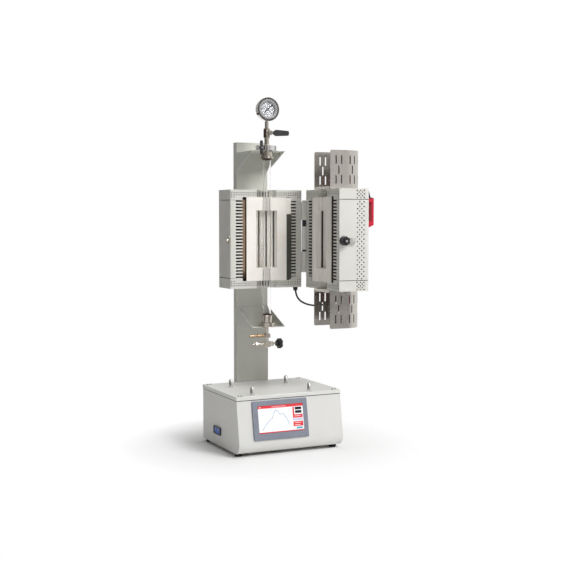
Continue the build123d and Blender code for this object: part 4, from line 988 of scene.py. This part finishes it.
# SHAPES THAT SEVERAL PIECES USE
def block(size: Triple, place: Matrix, bevel: float = 0.0, segments: int = 2) -> Shape:
    """A box with softened edges.

    Args:
        size: Its three sides, in the units of the place.
        place: Where its middle stands.
        bevel: How wide its softened edges are, or zero for none.
        segments: The faces across a softened edge.

    Returns:
        The shape, which the caller frees or turns into a piece.
    """
    shape = bmesh.new()
    bmesh.ops.create_cube(shape, size=1.0, matrix=Matrix.Diagonal((*size, 1.0)))
    if bevel:
        bmesh.ops.bevel(
            shape, geom=shape.edges[:], offset=bevel, affect="EDGES", segments=segments,
            profile=0.5, material=-1,
        )
    shape.transform(place)
    return shape


def prism(sides: int, radius: float, depth: float, place: Matrix) -> Shape:
    """A prism.

    Args:
        sides: How many sides it has.
        radius: From its axis to its edges, in the units of the place.
        depth: Its length, half of it on each side of the place.
        place: Where its middle stands, with Z along its axis.

    Returns:
        The shape, which the caller frees or turns into a piece.
    """
    shape = bmesh.new()
    bmesh.ops.create_cone(
        shape, cap_ends=True, segments=sides, radius1=radius, radius2=radius, depth=depth
    )
    shape.transform(place)
    return shape


def joined(shapes: Sequence[Shape], materials: Sequence[int] | None = None) -> Shape:
    """Puts shapes together in one, and frees them.

    Args:
        shapes: What to put together.
        materials: The material index for each shape, or none for zero everywhere.

    Returns:
        The one shape.
    """
    whole = bmesh.new()
    data = bpy.data.meshes.new("joining")
    for place, shape in enumerate(shapes):
        for face in shape.faces:
            face.material_index = materials[place] if materials else 0
        shape.to_mesh(data)
        shape.free()
        whole.from_mesh(data)
    bpy.data.meshes.remove(data)
    return whole


def lathe(profile: Sequence[Pair], steps: int, place: Matrix) -> Shape:
    """Spins a closed profile round an axis.

    Args:
        profile: The radius and height of each of its corners.
        steps: How many faces go round.
        place: Where the profile's zero stands, with Z along the axis.

    Returns:
        The shape, which the caller frees or turns into a piece.
    """
    shape = bmesh.new()
    points = [shape.verts.new((radius, 0.0, height)) for radius, height in profile]
    edges = [shape.edges.new(pair) for pair in zip(points, points[1:] + points[:1])]
    bmesh.ops.spin(
        shape, geom=points + edges, cent=(0, 0, 0), axis=(0, 0, 1), angle=math.tau,
        steps=steps, use_merge=True,
    )
    bmesh.ops.remove_doubles(shape, verts=shape.verts[:], dist=1e-6)
    bmesh.ops.recalc_face_normals(shape, faces=shape.faces[:])
    shape.transform(place)
    return shape


# THE WORK TUBE
@dataclass
class WorkTube:
    """The quartz tube through the furnace, as a smooth spun pipe with fire-polished ends."""

    shop: Workshop
    radius: float = 0.0125
    wall: float = 0.0020
    low: float = 0.366
    high: float = 0.888
    middle: float = 0.026
    polish: float = 0.0006
    steps: int = 96

    def build(self) -> None:
        """Makes the tube in place of the plain one."""
        inner, ease = self.radius - self.wall, self.polish
        outer, low, high = self.radius, self.low, self.high
        profile = [
            (inner + ease, low), (outer - ease, low), (outer, low + ease), (outer, high - ease),
            (outer - ease, high), (inner + ease, high), (inner, high - ease), (inner, low + ease),
        ]
        pipe = lathe(profile, self.steps, Matrix.Translation((0.0, self.middle, 0.0)))
        piece = self.shop.piece("work_tube", pipe, [QUARTZ], "stand", "quartz")
        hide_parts("quartz_tube")


# THE DOOR'S PIERCED SHELL
@dataclass
class PiercedShell:
    """The door's casing and end caps, with rows of vent holes along the side by the handle."""

    shop: Workshop
    half: HalfFrame
    face: float = 119.5
    hole: float = 4.5
    cut_depth: float = 6.0
    pitch: Pair = (7.0, 6.8)
    columns: int = 4
    middle: float = 72.5
    casing_low: float = 37.0
    casing_rows: int = 34
    cap_columns: int = 5
    cap_pitch: Pair = (5.6, 5.2)
    cap_rows: int = 5
    cap_middles: Pair = (15.5, 284.5)

    def _holes(self, columns: int, rows: int, pitch: Pair, low: float) -> Shape:
        """Makes eight-sided cutters at every other place of a grid.

        Args:
            columns: How many places across.
            rows: How many places up.
            pitch: From place to place, across and up, in millimetres.
            low: The height of the lowest row.

        Returns:
            The cutters, as one shape.
        """
        turn = Matrix.Rotation(QUARTER, 4, "Y") @ Matrix.Rotation(math.pi / 8, 4, "Z")
        cutters = []
        for row in range(rows):
            for column in range(columns):
                if (row + column) % 2 == 0:
                    depth = self.middle + (column - (columns - 1) / 2) * pitch[0]
                    spot = Matrix.Translation((self.face, depth, low + row * pitch[1]))
                    place = self.half.matrix() @ spot @ turn
                    cutters.append(prism(8, self.hole / 2, self.cut_depth, place))
        return joined(cutters)

    def build(self) -> None:
        """Makes both pierced pieces in place of the plain ones."""
        casing = self._holes(self.columns, self.casing_rows, self.pitch, self.casing_low)
        reach = (self.cap_rows - 1) / 2 * self.cap_pitch[1]
        caps = joined([
            self._holes(self.cap_columns, self.cap_rows, self.cap_pitch, middle - reach)
            for middle in self.cap_middles
        ])
        for name, node, cutter in (
            ("vented_casing", "door_casing", casing), ("vented_end_caps", "door_end_caps", caps)
        ):
            self.shop.pierced(name, node, cutter, DOOR_SHELL, self.half, "furnace_powder")


# WOOL PACKED BESIDE THE FIXED INSULATION
@dataclass
class Packing:
    """Loose fibre pressed between the fixed half's insulation block and its combs."""

    shop: Workshop
    half: HalfFrame
    seed: int = 5
    ease: float = 1.6
    longest_edge: float = 9.0
    cuts: int = 9
    tufts: Pair = (0.16, 0.5)
    fine_share: float = 0.4
    roughness: float = 1.3
    # Each wad's name, its reach across, into and up the half, and its place among the finishes.
    wads: tuple = (
        ("left_wool", (-78.3, -67.8), (7.0, 44.0), (30.0, 270.0), 0),
        ("right_wool", (67.4, 78.0), (5.2, 40.0), (226.0, 276.0), 1),
        ("right_felt", (67.4, 78.3), (5.2, 60.0), (26.0, 224.5), 2),
        ("right_wool_edge", (67.4, 83.0), (0.9, 3.3), (226.0, 275.0), 1),
        ("right_felt_edge", (67.4, 84.5), (1.0, 3.3), (25.0, 225.0), 2),
    )

    def build(self) -> None:
        """Makes each wad as a ruffled pad of its own."""
        noise.seed_set(self.seed)
        finishes = (SHADED_WOOL, FIBRE, DARK_FELT)
        for name, width, depth, height, kind in self.wads:
            low = Vector((width[0], depth[0], height[0]))
            high = Vector((width[1], depth[1], height[1]))
            shape = block(tuple(high - low), Matrix.Translation((low + high) / 2), self.ease)
            long = [edge for edge in shape.edges if edge.calc_length() > self.longest_edge]
            bmesh.ops.subdivide_edges(shape, edges=long, cuts=self.cuts, use_grid_fill=True)
            for vertex in shape.verts:
                push, fine = (noise.noise_vector(vertex.co * scale) for scale in self.tufts)
                vertex.co += (push + fine * self.fine_share) * self.roughness
                for axis in range(3):
                    vertex.co[axis] = min(max(vertex.co[axis], low[axis]), high[axis])
            shape.transform(self.half.matrix())
            self.shop.piece(name, shape, [finishes[kind]], self.half.body, "fibre")


# THE TOUCH PANEL'S PICTURE AND THE SIDE SOCKET
class Ink(Enum):
    """What a patch of the display shows."""

    WHITE = (0.93, 0.95, 0.97)
    RED = (0.78, 0.045, 0.06)
    PALE_RED = (0.86, 0.30, 0.32)
    BLACK = (0.012, 0.012, 0.014)
    LILAC = (0.62, 0.62, 0.80)
    TEAL = (0.10, 0.42, 0.55)
    GRID = (0.72, 0.80, 0.86)
    TRACE = (0.14, 0.20, 0.34)
    MARK = (0.95, 0.80, 0.80)


@dataclass
class TouchPanel:
    """The backlit display on the touch panel's glass."""

    shop: Workshop
    middle: Triple = (-34.5, -143.295, 103.5)
    lean: float = 10.3
    shift: Pair = (1.2, 2.4)
    screen: Pair = (145.0, 79.0)
    glass_front: float = 4.22
    layer: float = 0.03
    layer_step: float = 0.2
    # Each patch's ink, then its left, right, low and high edge as shares of the screen.
    patches: tuple = (
        (Ink.WHITE, 0.0, 1.0, 0.0, 1.0), (Ink.RED, 0.0, 1.0, 0.90, 1.0),
        (Ink.PALE_RED, 0.30, 0.62, 0.93, 0.97), (Ink.MARK, 0.03, 0.06, 0.93, 0.97),
        (Ink.RED, 0.0, 1.0, 0.0, 0.035), (Ink.RED, 0.765, 0.80, 0.60, 0.885),
        (Ink.BLACK, 0.82, 0.965, 0.775, 0.875), (Ink.BLACK, 0.82, 0.965, 0.645, 0.745),
        (Ink.RED, 0.765, 0.985, 0.475, 0.60), (Ink.MARK, 0.80, 0.94, 0.53, 0.55),
        (Ink.LILAC, 0.765, 0.985, 0.375, 0.455), (Ink.RED, 0.765, 0.985, 0.165, 0.345),
        (Ink.MARK, 0.80, 0.94, 0.285, 0.305), (Ink.MARK, 0.80, 0.92, 0.205, 0.225),
        (Ink.TEAL, 0.83, 0.965, 0.065, 0.135),
    )
    grid_rows: tuple[float, ...] = (0.16, 0.28, 0.40, 0.52, 0.64, 0.76)
    grid_reach: Pair = (0.04, 0.74)
    grid_width: float = 0.25
    trace: tuple[Pair, ...] = (
        (0.08, 0.12), (0.15, 0.28), (0.22, 0.42), (0.30, 0.52), (0.34, 0.68), (0.38, 0.82),
        (0.42, 0.80), (0.48, 0.66), (0.56, 0.66), (0.61, 0.52), (0.68, 0.27),
    )
    trace_width: float = 1.1
    trace_lift: float = 0.05
    trace_overlap: float = 0.6

    def _frame(self) -> Matrix:
        """Takes the panel's own millimetres, with Z outward, to the row frame's metres."""
        lean = math.radians(self.lean)
        across = Vector((1.0, 0.0, 0.0))
        outward = Vector((0.0, -math.cos(lean), math.sin(lean)))
        turn = Matrix((across, outward.cross(across), outward)).transposed().to_4x4()
        return Matrix.Scale(MM, 4) @ Matrix.Translation(self.middle) @ turn

    def _spot(self, across: float, up: float, lift: float) -> Vector:
        """Finds a place on the screen.

        Args:
            across: Its share of the screen's width, from the left.
            up: Its share of the screen's height, from the bottom.
            lift: How far it stands off the glass.

        Returns:
            The place, in the panel's millimetres.
        """
        return Vector((
            self.shift[0] + (across - 0.5) * self.screen[0],
            self.shift[1] + (up - 0.5) * self.screen[1],
            self.glass_front + lift,
        ))

    def build(self) -> None:
        """Makes the picture's patches, its grid and its trace as one thin piece."""
        inks = list(Ink)
        shapes, kinds = [], []
        for order, (ink, left, right, low, high) in enumerate(self.patches):
            corner, opposite = self._spot(left, low, 0.0), self._spot(right, high, 0.0)
            thick = self.layer * (1.0 if order == 0 else 2.0 + self.layer_step * order)
            centre = (corner + opposite) / 2 + Vector((0.0, 0.0, thick / 2))
            size = (opposite.x - corner.x, opposite.y - corner.y, thick)
            shapes.append(block(size, Matrix.Translation(centre)))
            kinds.append(inks.index(ink))
        for row in self.grid_rows:
            left, right = (self._spot(share, row, 0.0) for share in self.grid_reach)
            centre = (left + right) / 2
            size = (right.x - left.x, self.grid_width, self.layer * 2)
            shapes.append(block(size, Matrix.Translation(centre + Vector((0, 0, self.layer)))))
            kinds.append(inks.index(Ink.GRID))
        for start, end in zip(self.trace, self.trace[1:]):
            first, last = (self._spot(*point, self.trace_lift) for point in (start, end))
            run = last - first
            turn = Matrix.Rotation(math.atan2(run.y, run.x), 4, "Z")
            long = run.length + self.trace_width * self.trace_overlap
            size = (long, self.trace_width, self.layer * 3)
            shapes.append(block(size, Matrix.Translation((first + last) / 2) @ turn))
            kinds.append(inks.index(Ink.TRACE))
        picture = joined(shapes, kinds)
        picture.transform(self._frame())
        finishes = [Lit("display_" + ink.name.lower(), ink.value) for ink in inks]
        self.shop.piece("display_picture", picture, finishes, "stand", "screen", smooth=False)


@dataclass
class SideSocket:
    """The pale tongues and spring contacts inside the two side sockets."""

    shop: Workshop
    outside: float = -0.1692
    along: float = 0.013
    up: float = 0.0535
    pitch: float = 0.021
    tongue: Triple = (0.0090, 0.0108, 0.0019)
    contact: Triple = (0.0082, 0.0011, 0.0003)
    contacts: int = 4
    contact_pitch: float = 0.0024
    inset: float = 0.0012
    rise: float = 0.0009
    ease: float = 0.0003

    def build(self) -> None:
        """Makes both tongues with their contacts as one piece."""
        shapes, kinds = [], []
        for side in (-0.5, 0.5):
            along = self.along + side * self.pitch
            middle = Vector((self.outside + self.inset, along, self.up + self.rise))
            shapes.append(block(self.tongue, Matrix.Translation(middle), self.ease))
            kinds.append(0)
            for step in range(self.contacts):
                shift = (step - (self.contacts - 1) / 2) * self.contact_pitch
                below = Vector((0.0, shift, -self.tongue[2] / 2))
                shapes.append(block(self.contact, Matrix.Translation(middle + below)))
                kinds.append(1)
        tongues = joined(shapes, kinds)
        finishes = [SOCKET_TONGUE, CHROME]
        self.shop.piece("socket_tongues", tongues, finishes, "stand", "blue_plastic")


# THE GAUGE'S PRINTED DIAL
@dataclass
class GaugeScale:
    """The dial's marks and figures, a hair above the white disc, with its rim and hands."""

    shop: Workshop
    middle: Triple = (0.0, 0.026, 1.0205)
    front: float = 0.00582
    outer: float = 21.3
    long_mark: Pair = (3.4, 0.7)
    short_mark: Pair = (1.9, 0.35)
    long_every: int = 5
    sweep: float = 270.0
    marks: int = 51
    figures: tuple[str, ...] = ("0", "2", "4", "6", "8", "10")
    figure_radius: float = 14.8
    figure_size: float = 4.6
    lift: float = 0.06
    ring: tuple = (
        (22.8, 6.35), (23.6, 6.35), (30.0, 6.22), (30.0, 7.10), (29.2, 7.16), (23.2, 6.75)
    )
    ring_steps: int = 64
    # Each hand's name, body, size, middle along itself and above the dial, lean and bevel.
    hands: tuple = (
        ("hand_blade", "pointer", (29.0, 1.9, 0.5), (4.5, 0.0, 1.68), 40.0, 0.2),
        ("setting_hand", "stand", (21.0, 1.7, 0.3), (1.0, 0.0, 0.25), -35.0, 0.1),
    )

    def _frame(self) -> Matrix:
        """Takes the dial's own millimetres, with Z toward the reader, to metres."""
        turn = Matrix.Rotation(QUARTER, 4, "X")
        lift = Matrix.Translation((0.0, 0.0, self.front / MM))
        return Matrix.Translation(self.middle) @ Matrix.Scale(MM, 4) @ turn @ lift

    def _angle(self, share: float) -> float:
        """The direction of a share of the scale, clockwise from the lower left."""
        return math.radians(90.0 + self.sweep / 2 - share * self.sweep)

    def _figure(self, text: str, share: float) -> Shape:
        """Makes one figure.

        Args:
            text: What it says.
            share: Its place on the scale, from zero to one.

        Returns:
            Its shape, laid on the dial.
        """
        curve = bpy.data.curves.new("figure", "FONT")
        curve.body = text
        curve.size = self.figure_size
        curve.align_x = "CENTER"
        curve.align_y = "CENTER"
        curve.extrude = self.lift / 2
        holder = placed("figure", curve)
        data = mesh_of(holder)
        bpy.data.objects.remove(holder)
        shape = bmesh.new()
        shape.from_mesh(data)
        bpy.data.meshes.remove(data)
        angle = self._angle(share)
        spot = Vector((math.cos(angle), math.sin(angle), 0.0)) * self.figure_radius
        shape.transform(Matrix.Translation(spot))
        return shape

    def build(self) -> None:
        """Makes the marks and figures as one piece, and then the rim and the hands."""
        shapes = []
        for step in range(self.marks):
            length, width = self.short_mark if step % self.long_every else self.long_mark
            turn = Matrix.Rotation(self._angle(step / (self.marks - 1)), 4, "Z")
            out = Matrix.Translation((self.outer - length / 2, 0.0, self.lift / 2))
            shapes.append(block((length, width, self.lift), turn @ out))
        last = len(self.figures) - 1
        shapes += [self._figure(text, place / last) for place, text in enumerate(self.figures)]
        scale = joined(shapes)
        scale.transform(self._frame())
        self.shop.piece("gauge_scale", scale, [INK], "stand", "dial_white", smooth=False)
        rim = lathe(self.ring, self.ring_steps, self._frame())
        self.shop.piece("gauge_rim", rim, [SATIN], "stand", "gauge_steel")
        for name, body, size, middle, lean, ease in self.hands:
            turn = Matrix.Rotation(math.radians(lean), 4, "Z")
            hand = block(size, turn @ Matrix.Translation(middle), ease)
            hand.transform(self._frame())
            self.shop.piece(name, hand, [INK], body, "needle_black", smooth=False)


# SMALL FITTINGS
@dataclass
class Fittings:
    """Hex sockets in the lid's posts, and the lock washer on the front of the latch knob."""

    shop: Workshop
    post_x: Pair = (-112.0, 74.0)
    post_y: Pair = (-115.0, 46.0)
    post_top: float = 200.0
    post_socket: float = 2.9
    post_depth: float = 7.0
    washer: float = 4.6
    washer_points: int = 5
    notch: float = 0.52
    washer_thickness: float = 0.5
    washer_gap: float = 0.02

    def build(self) -> None:
        """Cuts the posts' sockets and adds the knob's washer."""
        scale = Matrix.Scale(MM, 4)
        tops = [Matrix.Translation((x, y, self.post_top)) for x in self.post_x for y in self.post_y]
        cutters = [prism(6, self.post_socket, 2 * self.post_depth, scale @ top) for top in tops]
        self.shop.pierced("socket_posts", "lid_posts", joined(cutters), CHROME, FIXED, "chrome")
        self._knob_washer()

    def _knob_washer(self) -> None:
        """Adds a five-pointed lock washer to the front of the latch knob."""
        low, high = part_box("latch_knob")
        centre = (low + high) / 2
        depth = (centre - DOOR.origin).dot(DOOR.inward) / MM
        corners = [vertex.co - DOOR.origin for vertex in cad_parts["latch_knob"].data.vertices]
        face = max(corner.dot(DOOR.across) for corner in corners) / MM + self.washer_gap
        spot = Matrix.Translation((face, depth, (centre.z - FURNACE_BOTTOM) / MM))
        shape = bmesh.new()
        ring = bmesh.ops.create_circle(
            shape, cap_ends=True, radius=self.washer, segments=2 * self.washer_points
        )
        for place, vertex in enumerate(ring["verts"]):
            if place % 2:
                vertex.co *= self.notch
        lifted = bmesh.ops.extrude_face_region(shape, geom=shape.faces[:])
        top = [item for item in lifted["geom"] if isinstance(item, bmesh.types.BMVert)]
        bmesh.ops.translate(shape, verts=top, vec=(0, 0, self.washer_thickness))
        bmesh.ops.recalc_face_normals(shape, faces=shape.faces[:])
        shape.transform(DOOR.matrix() @ spot @ Matrix.Rotation(QUARTER, 4, "Y"))
        self.shop.piece("knob_washer", shape, [CHROME], "latch", "chrome", smooth=False)


def main() -> None:
    """Builds every class in order."""
    logging.basicConfig(level=logging.INFO, format="%(name)s %(message)s")
    shop = Workshop()
    Studio().build()
    for finish, names in NODE_FINISH:
        for name in names.split():
            shop.dress_node(name, finish)
    for assembly in (
        DoorCable(shop), WorkTube(shop), PiercedShell(shop, DOOR), Packing(shop, FIXED),
        TouchPanel(shop), SideSocket(shop), GaugeScale(shop), Fittings(shop),
    ):
        assembly.build()


if __name__ == "__main__":
    main()
